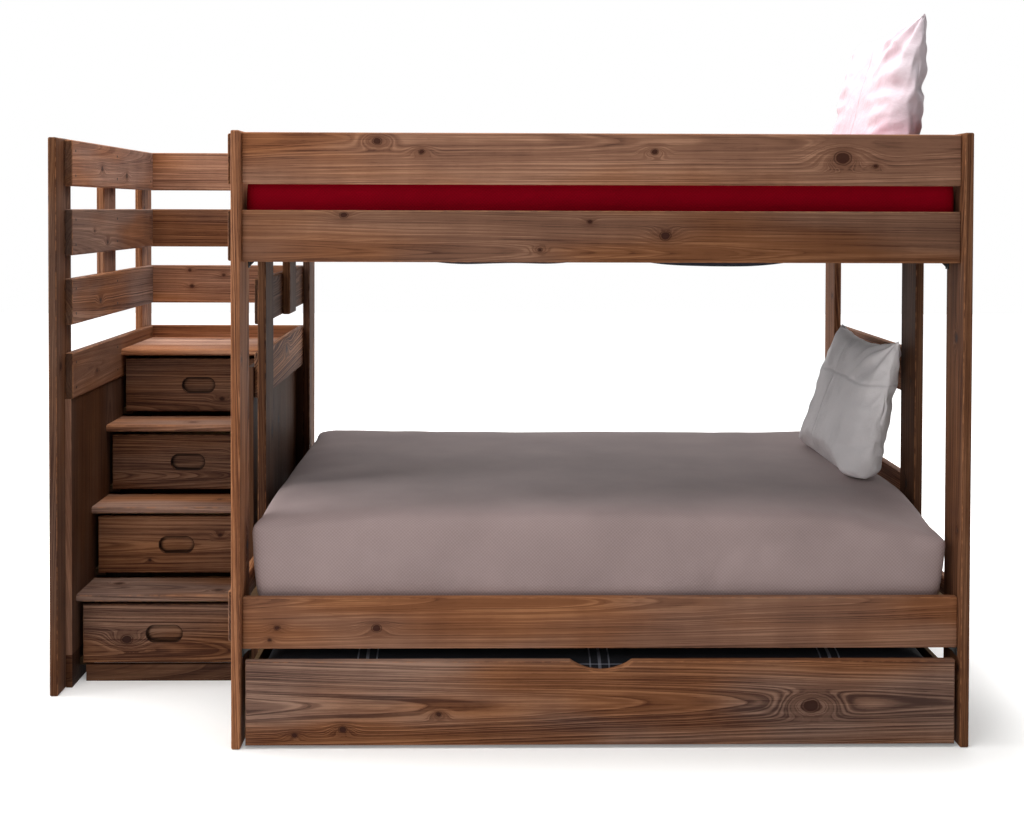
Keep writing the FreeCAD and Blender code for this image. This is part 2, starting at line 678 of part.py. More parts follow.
def wheel_housing(name, x, y):
    """A moulded block under the trundle floor, slotted for the wheel and bored for its axle."""
    slot = "(wheel_wide + 2 * hub_stand + 2 * wheel_gap)"
    wide = "(%s + 2 * housing_wall)" % slot
    low = "(wheel_radius - housing_foot)"
    tall = "(trundle_floor_level - %s)" % low
    body = block(name + "_block", (wide, "housing_long", tall),
                 ("%s - %s / 2" % (x, wide), "%s - housing_long / 2" % y, low))
    slot_tall = "(2 * wheel_radius + wheel_gap - %s)" % low
    cut_spans = (slot, "housing_long + 2 * housing_wall", "%s + housing_wall" % slot_tall)
    cut_y = "%s - housing_long / 2 - housing_wall" % y
    cut = block(name + "_slot", cut_spans, ("%s - %s / 2" % (x, slot), cut_y, "%s - housing_wall" % low))
    bore = doc.addObject("Part::Cylinder", name + "_bore")
    bind(bore, "Radius", "axle_radius + axle_gap")
    bind(bore, "Height", "%s + 2 * housing_wall" % wide)
    bore.Placement.Rotation = FreeCAD.Rotation(Vector(0, 0, 1), Vector(1, 0, 0))
    set_place(bore, ("%s - %s / 2 - housing_wall" % (x, wide), y, "wheel_radius"))
    slotted = doc.addObject("Part::Cut", name + "_slotted")
    slotted.Base = body
    slotted.Tool = cut
    bored = doc.addObject("Part::Cut", name)
    bored.Base = slotted
    bored.Tool = bore
    return bored


def wheel(name, x, y):
    """A solid roller with rounded tread corners, hub faces and axle ends turned in one piece."""
    body = doc.addObject("PartDesign::Body", name)
    sketch = new_sketch(body, name + "_outline", "XZ_Plane")
    half = size("wheel_wide") / 2
    radius = size("wheel_radius")
    hub = size("hub_radius")
    hub_x = half + size("hub_stand")
    end_x = hub_x + size("wheel_gap") + size("housing_wall")
    axle = size("axle_radius")
    right_side = [(end_x, 0), (end_x, axle), (hub_x, axle), (hub_x, hub), (half, hub), (half, radius)]
    left_side = [(-x, y) for x, y in right_side]
    corners = left_side[:1] + right_side + left_side[:0:-1]
    draw_loop(sketch, corners)
    for line in range(len(corners)):
        sketch.addConstraint(Sketcher.Constraint("Vertical" if line % 2 else "Horizontal", line))
    sketch.addConstraint(Sketcher.Constraint("PointOnObject", 0, 1, -1))
    for left_line, right_line in ((10, 2), (8, 4), (11, 1), (9, 3)):
        sketch.addConstraint(Sketcher.Constraint("Equal", left_line, right_line))
    bound_distance(sketch, "DistanceX", 7, 1, -1, 1, formula="wheel_wide / 2")
    bound_distance(sketch, "DistanceX", 7, 1, 6, 1, formula="wheel_wide")
    bound_distance(sketch, "DistanceX", 4, 2, 4, 1, formula="hub_stand")
    bound_distance(sketch, "DistanceX", 2, 2, 2, 1, formula="wheel_gap + housing_wall")
    bound_distance(sketch, "DistanceY", 1, 1, 1, 2, formula="axle_radius")
    bound_distance(sketch, "DistanceY", -1, 1, 3, 2, formula="hub_radius")
    bound_distance(sketch, "DistanceY", -1, 1, 5, 2, formula="wheel_radius")
    turned = body.newObject("PartDesign::Revolution", name + "_turned")
    turned.Profile = sketch
    turned.ReferenceAxis = (sketch, ["H_Axis"])
    doc.recompute()
    rim = size("wheel_radius") - size("wheel_round")
    round_edges(body, turned, "wheel_round",
                lambda edge: edge.BoundBox.ZMax > rim and edge.BoundBox.XLength < size("hub_stand"))
    set_place(body, (x, y, "wheel_radius"))
    return body


def build_trundle():
    """A low box on rollers that runs out under the lower bunk."""
    keep(trundle_front(), "trundle_front")
    left = "(%s + trundle_end_gap)" % X_LEFT
    right_wall = "%s - trundle_end_gap - trundle_wall" % X_RIGHT
    near = Y_TRUNDLE_BOX
    wall_tall = "trundle_wall_tall + trundle_floor_thick"
    side_spans = ("trundle_wall", "trundle_deep", wall_tall)
    floor_z = "trundle_floor_level"
    clear_long = "%s - 2 * trundle_wall" % TRUNDLE_LONG
    inner_x = "%s + trundle_wall" % left
    pieces = [
        block("trundle_side_left", side_spans, (left, near, floor_z)),
        block("trundle_side_right", side_spans, (right_wall, near, floor_z)),
        block("trundle_end", (TRUNDLE_LONG, "trundle_wall", wall_tall),
              (left, "%s + trundle_deep" % near, floor_z)),
        block("trundle_floor", (clear_long, "trundle_deep", "trundle_floor_thick"), (inner_x, near, floor_z)),
    ]
    for spot, places in wheel_places().items():
        wheels = []
        for side, (x, y) in zip(("left", "right"), places):
            pieces.append(wheel_housing("housing_%s_%s" % (spot, side), x, y))
            wheels.append(wheel("wheel_%s_%s" % (spot, side), x, y))
        keep(group("wheel_pair_" + spot, wheels), "trundle_wheels_" + spot)
    keep(group("trundle_frame_set", pieces), "trundle_frame")


def bowed_edge(start, end, bow):
    """An arc from start to end that bows sideways by the vector bow at its middle."""
    return Part.Arc(start, (start + end) / 2 + bow, end).toShape()


# Places along a mattress where its section is drawn, as shares of its length
MATTRESS_SHARES = (0.05, 0.15, 0.3, 0.5, 0.7, 0.85, 0.95)
END_STEP_COUNT = 3


def mattress_stations(long, draw):
    """Places along a mattress and how far the section is drawn in there, round both ends."""
    turns = [step * math.pi / 2 / END_STEP_COUNT for step in range(END_STEP_COUNT + 1)]
    end = [(draw * (1 - math.cos(turn)), draw * (1 - math.sin(turn))) for turn in turns]
    middle = [(share * long, 0) for share in MATTRESS_SHARES]
    return end + middle + [(long - x, inset) for x, inset in reversed(end)]


def mattress(label, long, wide, tall, place):
    """A padded block: flat below, crowned above, sides that belly between the taped edges.

    It is lofted from end to end through sections that draw in round both ends.
    """
    crown = size("mattress_crown")
    bulge = size("mattress_bulge")
    flat_share = 4
    sections = []
    for x, inset in mattress_stations(long, size("mattress_end_draw")):
        half = wide / 2 - bulge - inset
        top = tall - inset
        rise = crown * (1 - abs(1 - 2 * x / long) ** flat_share) + bulge
        corners = [Vector(x, y, z) for y, z in ((-half, inset), (half, inset), (half, top), (-half, top))]
        edges = [
            Part.LineSegment(corners[0], corners[1]).toShape(),
            bowed_edge(corners[1], corners[2], Vector(0, bulge, 0)),
            bowed_edge(corners[2], corners[3], Vector(0, 0, rise)),
            bowed_edge(corners[3], corners[0], Vector(0, -bulge, 0)),
        ]
        sections.append(Part.Wire(edges))
    piece = doc.addObject("Part::Feature", label)
    piece.Shape = Part.makeLoft(sections, True, True)
    piece.Placement = FreeCAD.Placement(Vector(*place), FreeCAD.Rotation())
    return keep(piece, label)


# A pillow's outline along its length: share of the half length, of the width and of the thickness
PILLOW_SHARES = ((-1.0, 0.98, 0.10), (-0.86, 0.96, 0.52), (-0.5, 0.93, 0.88), (0.0, 0.91, 1.0),
                 (0.5, 0.93, 0.88), (0.86, 0.96, 0.52), (1.0, 0.98, 0.10))
SETTLE_COUNT = 12


def lower_onto(piece, seat):
    """Lets a piece down by its shortest distance to the seat until only the pillow gap is left."""
    gap = size("pillow_gap")
    for _ in range(SETTLE_COUNT):
        spare = piece.Shape.distToShape(seat.Shape)[0] - gap
        piece.Placement.Base = piece.Placement.Base - Vector(0, 0, max(spare, 0))


def pillow(kind, bed, bed_top):
    """A stuffed pillow, drawn in between its corners, flatter behind where it leans on the head end."""
    long = size(kind + "_pillow_long")
    tall = size(kind + "_pillow_tall")
    thick = size(kind + "_pillow_thick")
    sections = []
    for along_share, tall_share, thick_share in PILLOW_SHARES:
        y = along_share * long / 2
        low = Vector(0, y, (1 - tall_share) * tall / 2)
        high = Vector(0, y, (1 + tall_share) * tall / 2)
        bow = Vector(thick_share * thick, 0, 0)
        back = bowed_edge(low, high, bow * size("pillow_back_share"))
        front = bowed_edge(high, low, -bow * size("pillow_front_share"))
        sections.append(Part.Wire([back, front]))
    label = kind + "_pillow"
    piece = doc.addObject("Part::Feature", label)
    piece.Shape = Part.makeLoft(sections, True, False)
    lean = FreeCAD.Rotation(Vector(0, 1, 0), size(kind + "_pillow_lean_angle"))
    x = measure(X_RIGHT) - size(kind + "_pillow_off_end") - tall * lean.multVec(Vector(0, 0, 1)).x
    y = measure(Y_FRONT) + size(kind + "_pillow_y")
    piece.Placement = FreeCAD.Placement(Vector(x, y, bed_top + thick), lean)
    lower_onto(piece, bed)
    return keep(piece, label)


def build_bedding():
    """Foundation, mattresses and pillows, each a little clear of what carries it."""
    gap = size("soft_gap")
    foundation_z = "deck_level + upper_cleat_lift + upper_cleat_tall"
    spans = (MATTRESS_LONG, MATTRESS_WIDE, "foundation_tall")
    place = ("%s + mattress_end_gap" % X_LEFT, "-%s / 2" % MATTRESS_WIDE, foundation_z)
    keep(plank("foundation", "Z", spans, place, "foundation_round"), "upper_foundation")
    long = measure(MATTRESS_LONG)
    wide = measure(MATTRESS_WIDE)
    left = measure("%s + mattress_end_gap" % X_LEFT)
    crown = size("mattress_crown") + size("mattress_bulge")
    lower_z = size("lower_deck_level") + gap
    upper_z = measure(foundation_z + " + foundation_tall") + gap
    lower = mattress("lower_mattress", long, wide, size("lower_mattress_tall"), (left, 0, lower_z))
    upper = mattress("upper_mattress", long, wide, size("upper_mattress_tall"), (left, 0, upper_z))
    trundle_left = measure("%s + trundle_end_gap + trundle_wall + trundle_mattress_end_gap" % X_LEFT)
    trundle_y = measure("%s + trundle_deep / 2" % Y_TRUNDLE_BOX)
    trundle_z = measure("trundle_floor_level + trundle_floor_thick") + gap
    mattress("trundle_mattress", measure(TRUNDLE_MATTRESS_LONG), measure(TRUNDLE_MATTRESS_WIDE),
             size("trundle_mattress_tall"), (trundle_left, trundle_y, trundle_z))
    pillow("lower", lower, lower_z + size("lower_mattress_tall") + crown)
    pillow("upper", upper, upper_z + size("upper_mattress_tall") + crown)


def check_all():
    """Stops before anything is written if an object failed or a shape is unsound."""
    for item in doc.Objects:
        if "Invalid" in item.State or "Error" in item.State:
            raise RuntimeError("%s did not compute: %s" % (item.Name, item.State))
    for item in nodes:
        if item.Shape.isNull() or not item.Shape.isValid():
            raise RuntimeError("%s has no sound shape" % item.Label)


def write_parts():
    os.makedirs("parts", exist_ok=True)
    for item in nodes:
        item.Shape.exportStep("parts/%s.step" % item.Label)
        box = item.Shape.optimalBoundingBox(False)
        print("%-24s %d solids  x %.1f %.1f  y %.1f %.1f  z %.1f %.1f  volume %.0f" % (
            item.Label, len(item.Shape.Solids), box.XMin, box.XMax, box.YMin, box.YMax, box.ZMin, box.ZMax,
            item.Shape.Volume))


build_posts()
build_rails()
build_ends()
build_deck()
build_brackets()
build_stair_guard()
build_stair_cabinet()
build_drawers()
build_trundle()
build_bedding()
doc.recompute()
check_all()
write_parts()
print("%d pieces" % len(nodes))
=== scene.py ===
"""Finish and bedding of a stained pine bunk bed with a drawer stair and a rolling trundle.

Metres, +Z up, +X along the bed to its head end, -Y towards the viewer.
"""
import json
import math
import random
from typing import NamedTuple

import bmesh
import bpy
from bpy.props import FloatProperty, FloatVectorProperty, IntProperty, PointerProperty
from mathutils import Matrix, Vector, noise


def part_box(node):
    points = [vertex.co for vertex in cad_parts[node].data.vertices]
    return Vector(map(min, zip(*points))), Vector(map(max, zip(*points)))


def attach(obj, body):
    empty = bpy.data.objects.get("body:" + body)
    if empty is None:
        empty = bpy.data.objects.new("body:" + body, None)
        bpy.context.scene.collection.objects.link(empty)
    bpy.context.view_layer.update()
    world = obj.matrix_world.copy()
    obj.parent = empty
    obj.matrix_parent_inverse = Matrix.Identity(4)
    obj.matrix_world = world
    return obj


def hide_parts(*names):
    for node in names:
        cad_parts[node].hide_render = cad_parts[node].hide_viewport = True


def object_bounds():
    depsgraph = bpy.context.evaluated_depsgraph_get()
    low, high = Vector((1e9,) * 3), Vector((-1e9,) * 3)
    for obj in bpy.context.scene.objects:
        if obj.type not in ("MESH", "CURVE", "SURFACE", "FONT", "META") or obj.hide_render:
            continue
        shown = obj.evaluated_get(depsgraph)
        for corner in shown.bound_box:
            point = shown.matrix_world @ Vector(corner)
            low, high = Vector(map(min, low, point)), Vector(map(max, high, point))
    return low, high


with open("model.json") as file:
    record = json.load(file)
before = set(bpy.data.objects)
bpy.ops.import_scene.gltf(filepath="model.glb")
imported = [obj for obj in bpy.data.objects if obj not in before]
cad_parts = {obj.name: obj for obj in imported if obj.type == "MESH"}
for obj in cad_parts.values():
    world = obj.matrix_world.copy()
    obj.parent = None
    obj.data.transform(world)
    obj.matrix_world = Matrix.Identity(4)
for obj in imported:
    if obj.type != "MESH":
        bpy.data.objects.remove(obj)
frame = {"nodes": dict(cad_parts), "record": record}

bl_info = {
    "name": "Bunk Bed Finish",
    "version": (1, 0, 0),
    "blender": (4, 5, 0),
    "location": "View3D > Sidebar > Bunk Bed",
    "description": "Stains the planks of a bunk bed and makes up its beds",
    "category": "Object",
}

CAD_BOX = [list(corner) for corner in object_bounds()]
AXES = "XYZ"


def srgb(red, green, blue):
    """A screen colour, each part from 0 to 255, as the linear colour that shaders use."""
    parts = [part / 255 for part in (red, green, blue)]
    return tuple(part / 12.92 if part <= 0.04045 else ((part + 0.055) / 1.055) ** 2.4 for part in parts)


def colour(label, about, red, green, blue):
    return FloatVectorProperty(name=label, description=about, subtype="COLOR", min=0, max=1,
                               default=srgb(red, green, blue))


def length(label, about, default):
    return FloatProperty(name=label, description=about, unit="LENGTH", default=default, precision=4)


def angle(label, about, degrees):
    return FloatProperty(name=label, description=about, subtype="ANGLE", default=math.radians(degrees))


def number(label, about, default):
    return FloatProperty(name=label, description=about, default=default)


def count(label, about, default):
    return IntProperty(name=label, description=about, default=default)


class StageSettings(bpy.types.PropertyGroup):
    """Where the camera stands and how the studio is lit."""
    camera_place: FloatVectorProperty(name="Camera", description="Place of the camera", subtype="TRANSLATION",
                                      default=(-0.0004, -4.2746, 1.4617))
    turn: angle("Turn", "Camera's turn to the right", 0.826)
    tip: angle("Tip", "Camera's tip below level", 1.092)
    roll: angle("Roll", "Camera's roll", 0.166)
    lens: number("Lens", "Focal length in millimetres", 46.28)
    shift: number("Shift", "Upward shift of the frame, as a share of its width", -0.1751)
    front_power: number("Front", "Power of the light at the front left", 108)
    left_power: number("Left", "Power of the light beyond the foot end", 190)
    top_power: number("Top", "Power of the light overhead", 320)
    back_power: number("Back", "Power of the light behind the bed", 80)
    sky_level: number("Sky", "Strength of the white surround behind the bed", 0.95)
    sky_base: number("Sky base", "Strength of the white surround elsewhere", 0.03)
    floor_lift: number("Floor lift", "White added to the floor beside the bed, as the camera sees it", 0.20)
    floor_clear: length("Floor clear", "How far from the bed the floor is plain white", 0.55)
    floor_colour: colour("Floor", "Pale floor", 238, 237, 235)


class PineSettings(bpy.types.PropertyGroup):
    """Stain and growth of the planks."""
    pale: colour("Pale line", "Late wood, which takes little stain", 173, 119, 82)
    body: colour("Body", "Stained wood between the lines", 133, 85, 55)
    deep: colour("Deep", "Wood that took the most stain", 84, 48, 32)
    knot: colour("Knot", "Core of a knot", 54, 28, 20)
    raw_pale: colour("Raw line", "Late wood of plain pine", 160, 114, 72)
    raw_body: colour("Raw body", "Plain pine", 188, 150, 106)
    raw_deep: colour("Raw shade", "Darker plain pine", 162, 122, 82)
    raw_knot: colour("Raw knot", "Knot in plain pine", 98, 58, 34)
    ring_pitch: length("Ring pitch", "Width of one year's growth", 0.0078)
    wander: length("Wander", "How far the grain strays from straight", 0.020)


class BeddingSettings(bpy.types.PropertyGroup):
    """Covers of the mattresses, foundation and pillows."""
    taupe: colour("Lower cover", "Fitted cover of the lower mattress", 165, 145, 143)
    crimson: colour("Upper cover", "Fitted cover of the upper mattress", 138, 0, 22)
    navy: colour("Foundation", "Cover under the upper mattress", 22, 24, 34)
    # The check's dark ground, made darker than the cloth's own as painted shade in the gap under the lower
    # rail
    check_dark: colour("Check ground", "Ground of the trundle's check", 14, 14, 18)
    check_light: colour("Check line", "Lines of the trundle's check", 176, 178, 192)
    grey_case: colour("Lower pillow", "Case of the lower pillow", 245, 240, 241)
    grey_shadow: colour("Lower pillow's shade", "Shaded parts of the lower pillow's case", 168, 162, 163)
    blush_case: colour("Upper pillow", "Case of the upper pillow", 219, 207, 213)
    # Painted shade of the upper pillow's case, tinted pink as painted light thrown back from the red mattress
    # below it
    blush_shadow: colour("Upper pillow's shade", "Shaded parts of the upper pillow's case", 226, 178, 192)
    weave_pitch: length("Weave pitch", "Repeat of the covers' small diamonds", 0.0096)
    check_pitch: length("Check pitch", "Repeat of the trundle's check", 0.64)
    check_line: length("Check line", "Half width of the check's middle line", 0.004)
    check_gap: length("Check gap", "From the check's middle line to the lines beside it", 0.026)
    mattress_step: length("Mattress mesh", "Side of a face of the mattress covers", 0.022)
    pillow_step: length("Pillow mesh", "Side of a face of the pillowcases", 0.009)
    mattress_frames: count("Mattress frames", "Cloth frames for a mattress", 14)
    pillow_frames: count("Pillow frames", "Cloth frames for a pillow", 18)


class HardwareSettings(bpy.types.PropertyGroup):
    """Screws, brackets and wheels."""
    screw_radius: length("Screw head", "Radius of a countersunk screw head", 0.0044)
    screw_inset: length("Screw inset", "From the middle of a plank to each of its screws", 0.038)
    screw_edge: length("Screw edge", "From a post's edge to the screws along it", 0.079)
    steel: colour("Steel", "Dark screw heads", 22, 17, 15)
    paint: colour("Brackets", "Painted angle brackets", 26, 25, 25)
    plastic: colour("Wheels", "Moulded wheels", 40, 40, 42)


class BunkSettings(bpy.types.PropertyGroup):
    """All that a user would change."""
    stage: PointerProperty(type=StageSettings)
    pine: PointerProperty(type=PineSettings)
    bedding: PointerProperty(type=BeddingSettings)
    hardware: PointerProperty(type=HardwareSettings)


def settings():
    return bpy.context.scene.bunk_settings


class Graph:
    """Adds nodes to a node tree, and feeds each input with a link or a plain value."""

    def __init__(self, tree):
        self.tree = tree

    def feed(self, socket, value):
        if isinstance(value, bpy.types.NodeSocket):
            self.tree.links.new(value, socket)
        elif socket.type == "RGBA":
            socket.default_value = (*value, 1)
        else:
            socket.default_value = value

    def add(self, kind, inputs=None, **values):
        node = self.tree.nodes.new(kind)
        for name, value in values.items():
            setattr(node, name, value)
        for key, value in (inputs or {}).items():
            self.feed(node.inputs[key], value)
        return node

    def math(self, operation, *terms):
        return self.add("ShaderNodeMath", dict(enumerate(terms)), operation=operation).outputs[0]

    def vector(self, operation, *terms):
        return self.add("ShaderNodeVectorMath", dict(enumerate(terms)), operation=operation).outputs[0]

    def length(self, vector):
        return self.add("ShaderNodeVectorMath", {0: vector}, operation="LENGTH").outputs["Value"]

    def scaled(self, vector, factor):
        inputs = {"Vector": vector, "Scale": factor}
        return self.add("ShaderNodeVectorMath", inputs, operation="SCALE").outputs[0]

    def split(self, vector):
        return self.add("ShaderNodeSeparateXYZ", {0: vector}).outputs

    def join(self, x, y, z):
        return self.add("ShaderNodeCombineXYZ", {0: x, 1: y, 2: z}).outputs[0]

    def step(self, value, start, end):
        """0 before start, 1 after end, smooth between."""
        inputs = {"Value": value, "From Min": start, "From Max": end}
        return self.add("ShaderNodeMapRange", inputs, interpolation_type="SMOOTHSTEP").outputs["Result"]

    def noise(self, vector, scale=1.0, detail=2.0):
        return self.add("ShaderNodeTexNoise", {"Vector": vector, "Scale": scale, "Detail": detail}).outputs

    def mix(self, share, first, second, blend="MIX"):
        node = self.add("ShaderNodeMix", data_type="RGBA", blend_type=blend)
        self.feed(node.inputs["Factor"], share)
        self.feed(node.inputs[6], first)
        self.feed(node.inputs[7], second)
        return node.outputs[2]

    def total(self, *terms):
        result = terms[0]
        for term in terms[1:]:
            result = self.math("ADD", result, term)
        return result

    def about_middle(self, value, spread):
        """A value from 0 to 1 turned into one about 0, as wide as spread."""
        return self.math("MULTIPLY", self.math("SUBTRACT", value, 0.5), spread)

    def place(self, tree, inputs):
        node = self.tree.nodes.new("ShaderNodeGroup")
        node.node_tree = tree
        for key, value in inputs.items():
            self.feed(node.inputs[key], value)
        return node.outputs


SOCKETS = {"value": "NodeSocketFloat", "vector": "NodeSocketVector", "colour": "NodeSocketColor"}


def new_group(name, inputs, outputs):
    """An empty shader node group with named sockets: its graph, inputs and outputs."""
    tree = bpy.data.node_groups.new(name, "ShaderNodeTree")
    for label, kind in inputs.items():
        tree.interface.new_socket(label, in_out="INPUT", socket_type=SOCKETS[kind])
    for label, kind in outputs.items():
        tree.interface.new_socket(label, in_out="OUTPUT", socket_type=SOCKETS[kind])
    source = tree.nodes.new("NodeGroupInput").outputs
    sink = tree.nodes.new("NodeGroupOutput").inputs
    return Graph(tree), source, sink


def shared_group(name, build):
    """The node group of that name, built the first time it is asked for."""
    if name not in bpy.data.node_groups:
        build(name)
    return bpy.data.node_groups[name]


def build_knot_group(name):
    """A knot: its dark core, the stain that gathers about it, and how far it pushes the rings aside."""
    graph, source, sink = new_group(
        name, {"Position": "vector", "Centre": "vector", "Radius": "value"},
        {"Swell": "value", "Core": "value", "Halo": "value"})
    warp = graph.noise(source["Position"], scale=55)["Color"]
    strayed = graph.vector("ADD", source["Position"], graph.scaled(warp, 0.006))
    from_centre = graph.vector("SUBTRACT", strayed, source["Centre"])
    offset = graph.vector("SUBTRACT", from_centre, (0.003, 0.003, 0.003))
    face = graph.vector("MULTIPLY", offset, (0.78, 1, 0.25))
    reach = graph.math("DIVIDE", graph.length(face), source["Radius"])
    rings = graph.math("MULTIPLY", graph.math("SINE", graph.math("MULTIPLY", reach, 17)), 0.16)
    core = graph.math("SUBTRACT", 1, graph.step(graph.math("ADD", reach, rings), 0.72, 1.12))
    halo = graph.math("EXPONENT", graph.math("MULTIPLY", graph.math("MULTIPLY", reach, reach), -0.22))
    stretched = graph.vector("MULTIPLY", offset, (0.28, 0.62, 0.2))
    pull = graph.math("DIVIDE", graph.length(stretched), source["Radius"])
    bend = graph.math("EXPONENT", graph.math("MULTIPLY", graph.math("MULTIPLY", pull, pull), -1))
    swell = graph.math("MULTIPLY", graph.math("MULTIPLY", bend, source["Radius"]), 1.5)
    graph.feed(sink["Swell"], swell)
    graph.feed(sink["Core"], core)
    graph.feed(sink["Halo"], halo)


def build_pine_group(name):
    """Sawn pine: growth rings about a pith beside the plank, fibres, blotches of stain and knots."""
    graph, source, sink = new_group(
        name, {"Position": "vector", "Seed": "vector", "Pith": "vector", "Slope": "value", "Pitch": "value",
               "Wander": "value", "Contrast": "value", "Rings": "value", "Greyness": "value", "Tone": "value",
               "Swell": "value", "Core": "value", "Halo": "value",
               "Pale": "colour", "Body": "colour", "Deep": "colour", "Knot": "colour"},
        {"Color": "colour", "Roughness": "value", "Height": "value"})
    place = graph.vector("ADD", source["Position"], source["Seed"])
    slow = graph.noise(graph.vector("MULTIPLY", place, (0.9, 4, 4)))["Color"]
    quick = graph.noise(graph.vector("MULTIPLY", place, (5, 30, 30)))["Color"]
    drift = graph.scaled(graph.vector("SUBTRACT", slow, (0.5, 0.5, 0.5)), source["Wander"])
    waver = graph.scaled(graph.vector("SUBTRACT", quick, (0.5, 0.5, 0.5)),
                         graph.math("MULTIPLY", source["Wander"], 0.10))
    bent = graph.vector("ADD", graph.vector("ADD", source["Position"], drift), waver)
    strayed = graph.vector("SUBTRACT", bent, source["Pith"])
    along, across, thick = graph.split(strayed)[0:3]
    radius = graph.length(graph.join(0.0, across, thick))
    growth = graph.total(radius, graph.math("MULTIPLY", along, source["Slope"]), source["Swell"])
    ring = graph.math("DIVIDE", growth, source["Pitch"])
    uneven = graph.add("ShaderNodeTexNoise", {"W": graph.math("MULTIPLY", ring, 0.45), "Detail": 1.0},
                       noise_dimensions="1D").outputs[0]
    ring = graph.math("ADD", ring, graph.about_middle(uneven, 2.2))
    phase = graph.math("FRACT", ring)
    rise = graph.step(phase, 0.25, 0.80)
    fall = graph.step(phase, 0.84, 1.0)
    line = graph.math("SUBTRACT", rise, fall)
    trough = graph.math("SUBTRACT", 1, graph.step(phase, 0.0, 0.24))
    tone = graph.add("ShaderNodeTexWhiteNoise", {"W": graph.math("FLOOR", ring)},
                     noise_dimensions="1D").outputs[0]
    fibre = graph.noise(graph.vector("MULTIPLY", place, (11, 520, 520)), detail=3)[0]
    streak = graph.noise(graph.vector("MULTIPLY", place, (1.6, 110, 110)), detail=3)[0]
    thread = graph.noise(graph.vector("MULTIPLY", place, (2.4, 300, 300)), detail=2)[0]
    dash = graph.noise(graph.vector("MULTIPLY", place, (48, 900, 900)), detail=1)[0]
    blotch = graph.noise(graph.vector("MULTIPLY", place, (2.4, 9, 9)), detail=3)[0]
    smear = graph.noise(graph.vector("MULTIPLY", place, (11, 4, 4)), detail=3)[0]
    elsewhere = graph.vector("ADD", place, (3.1, 7.7, 5.3))
    cool = graph.noise(graph.vector("MULTIPLY", elsewhere, (1.4, 6, 6)))[0]
    fleck = graph.step(dash, 0.60, 0.72)
    rings = graph.total(graph.math("MULTIPLY", graph.math("SUBTRACT", line, 0.42), 0.22),
                        graph.about_middle(tone, 0.14), graph.math("MULTIPLY", trough, -0.08))
    grain = graph.total(graph.math("MULTIPLY", rings, source["Rings"]), graph.about_middle(streak, 0.52),
                        graph.about_middle(thread, 0.58), graph.about_middle(fibre, 0.36),
                        graph.math("MULTIPLY", fleck, -0.10))
    shade = graph.total(graph.math("MULTIPLY", grain, source["Contrast"]), graph.about_middle(blotch, 0.80),
                        graph.about_middle(smear, 0.30), 0.5)
    low = graph.mix(graph.step(shade, 0.0, 0.5), source["Deep"], source["Body"])
    tint = graph.mix(graph.step(shade, 0.5, 1.0), low, source["Pale"])
    cooled = graph.math("MULTIPLY", graph.step(cool, 0.35, 0.62), source["Greyness"])
    tint = graph.add("ShaderNodeHueSaturation", {
        "Saturation": graph.math("MULTIPLY_ADD", cooled, -0.42, 1), "Color": tint}).outputs[0]
    tint = graph.mix(graph.math("MULTIPLY", source["Halo"], 0.55), tint, source["Deep"])
    tint = graph.mix(graph.math("MULTIPLY", source["Core"], 0.92), tint, source["Knot"])
    tint = graph.scaled(tint, source["Tone"])
    rough = graph.total(graph.about_middle(fibre, 0.16), graph.math("MULTIPLY", line, -0.08),
                        graph.math("MULTIPLY", source["Core"], -0.10), 0.66)
    height = graph.total(graph.math("MULTIPLY", line, 0.55), graph.about_middle(fibre, 0.7),
                         graph.math("MULTIPLY", fleck, -0.3), graph.math("MULTIPLY", source["Core"], 0.4))
    graph.feed(sink["Color"], tint)
    graph.feed(sink["Roughness"], rough)
    graph.feed(sink["Height"], height)


def build_edge_wear_and_highlight_group(name):
    """A mask of the rounded edges of a piece that is square to the frame, broken up in patches; where it is 1
    the colour pales, as rubbed wear and as a painted highlight along the edges.
    """
    graph, source, sink = new_group(name, {"Normal": "vector", "Position": "vector"}, {"Wear_and_highlight": "value"})
    parts = graph.split(graph.vector("ABSOLUTE", source["Normal"]))
    flattest = graph.math("MAXIMUM", graph.math("MAXIMUM", parts[0], parts[1]), parts[2])
    edge = graph.math("SUBTRACT", 1, graph.step(flattest, 0.80, 0.985))
    patch = graph.step(graph.noise(source["Position"], scale=38, detail=3)[0], 0.40, 0.64)
    graph.feed(sink["Wear_and_highlight"], graph.math("MULTIPLY", edge, patch))


def build_weave_group(name):
    """Knitted cover cloth: small raised diamonds, loose fuzz and slow changes of shade."""
    graph, source, sink = new_group(name, {"Position": "vector", "Pitch": "value"},
                                    {"Diamond": "value", "Fuzz": "value", "Shade": "value"})
    warp = graph.noise(source["Position"], scale=9)["Color"]
    strayed = graph.vector("ADD", source["Position"], graph.scaled(warp, 0.006))
    x, y, z = graph.split(strayed)[0:3]
    rise = graph.math("ADD", y, z)
    turn = graph.math("DIVIDE", 2 * math.pi, source["Pitch"])
    first = graph.math("SINE", graph.math("MULTIPLY", x, turn))
    second = graph.math("SINE", graph.math("MULTIPLY", rise, turn))
    diamond = graph.math("MULTIPLY_ADD", graph.math("MULTIPLY", first, second), 0.5, 0.5)
    graph.feed(sink["Diamond"], diamond)
    graph.feed(sink["Fuzz"], graph.noise(source["Position"], scale=700, detail=2)[0])
    graph.feed(sink["Shade"], graph.noise(source["Position"], scale=5, detail=3)[0])


def new_material(name):
    """An empty material: its data, graph, shader and the coordinates of the surface."""
    material = bpy.data.materials.new(name)
    material.use_nodes = True
    graph = Graph(material.node_tree)
    shader = material.node_tree.nodes["Principled BSDF"]
    return material, graph, shader, graph.add("ShaderNodeTexCoord").outputs


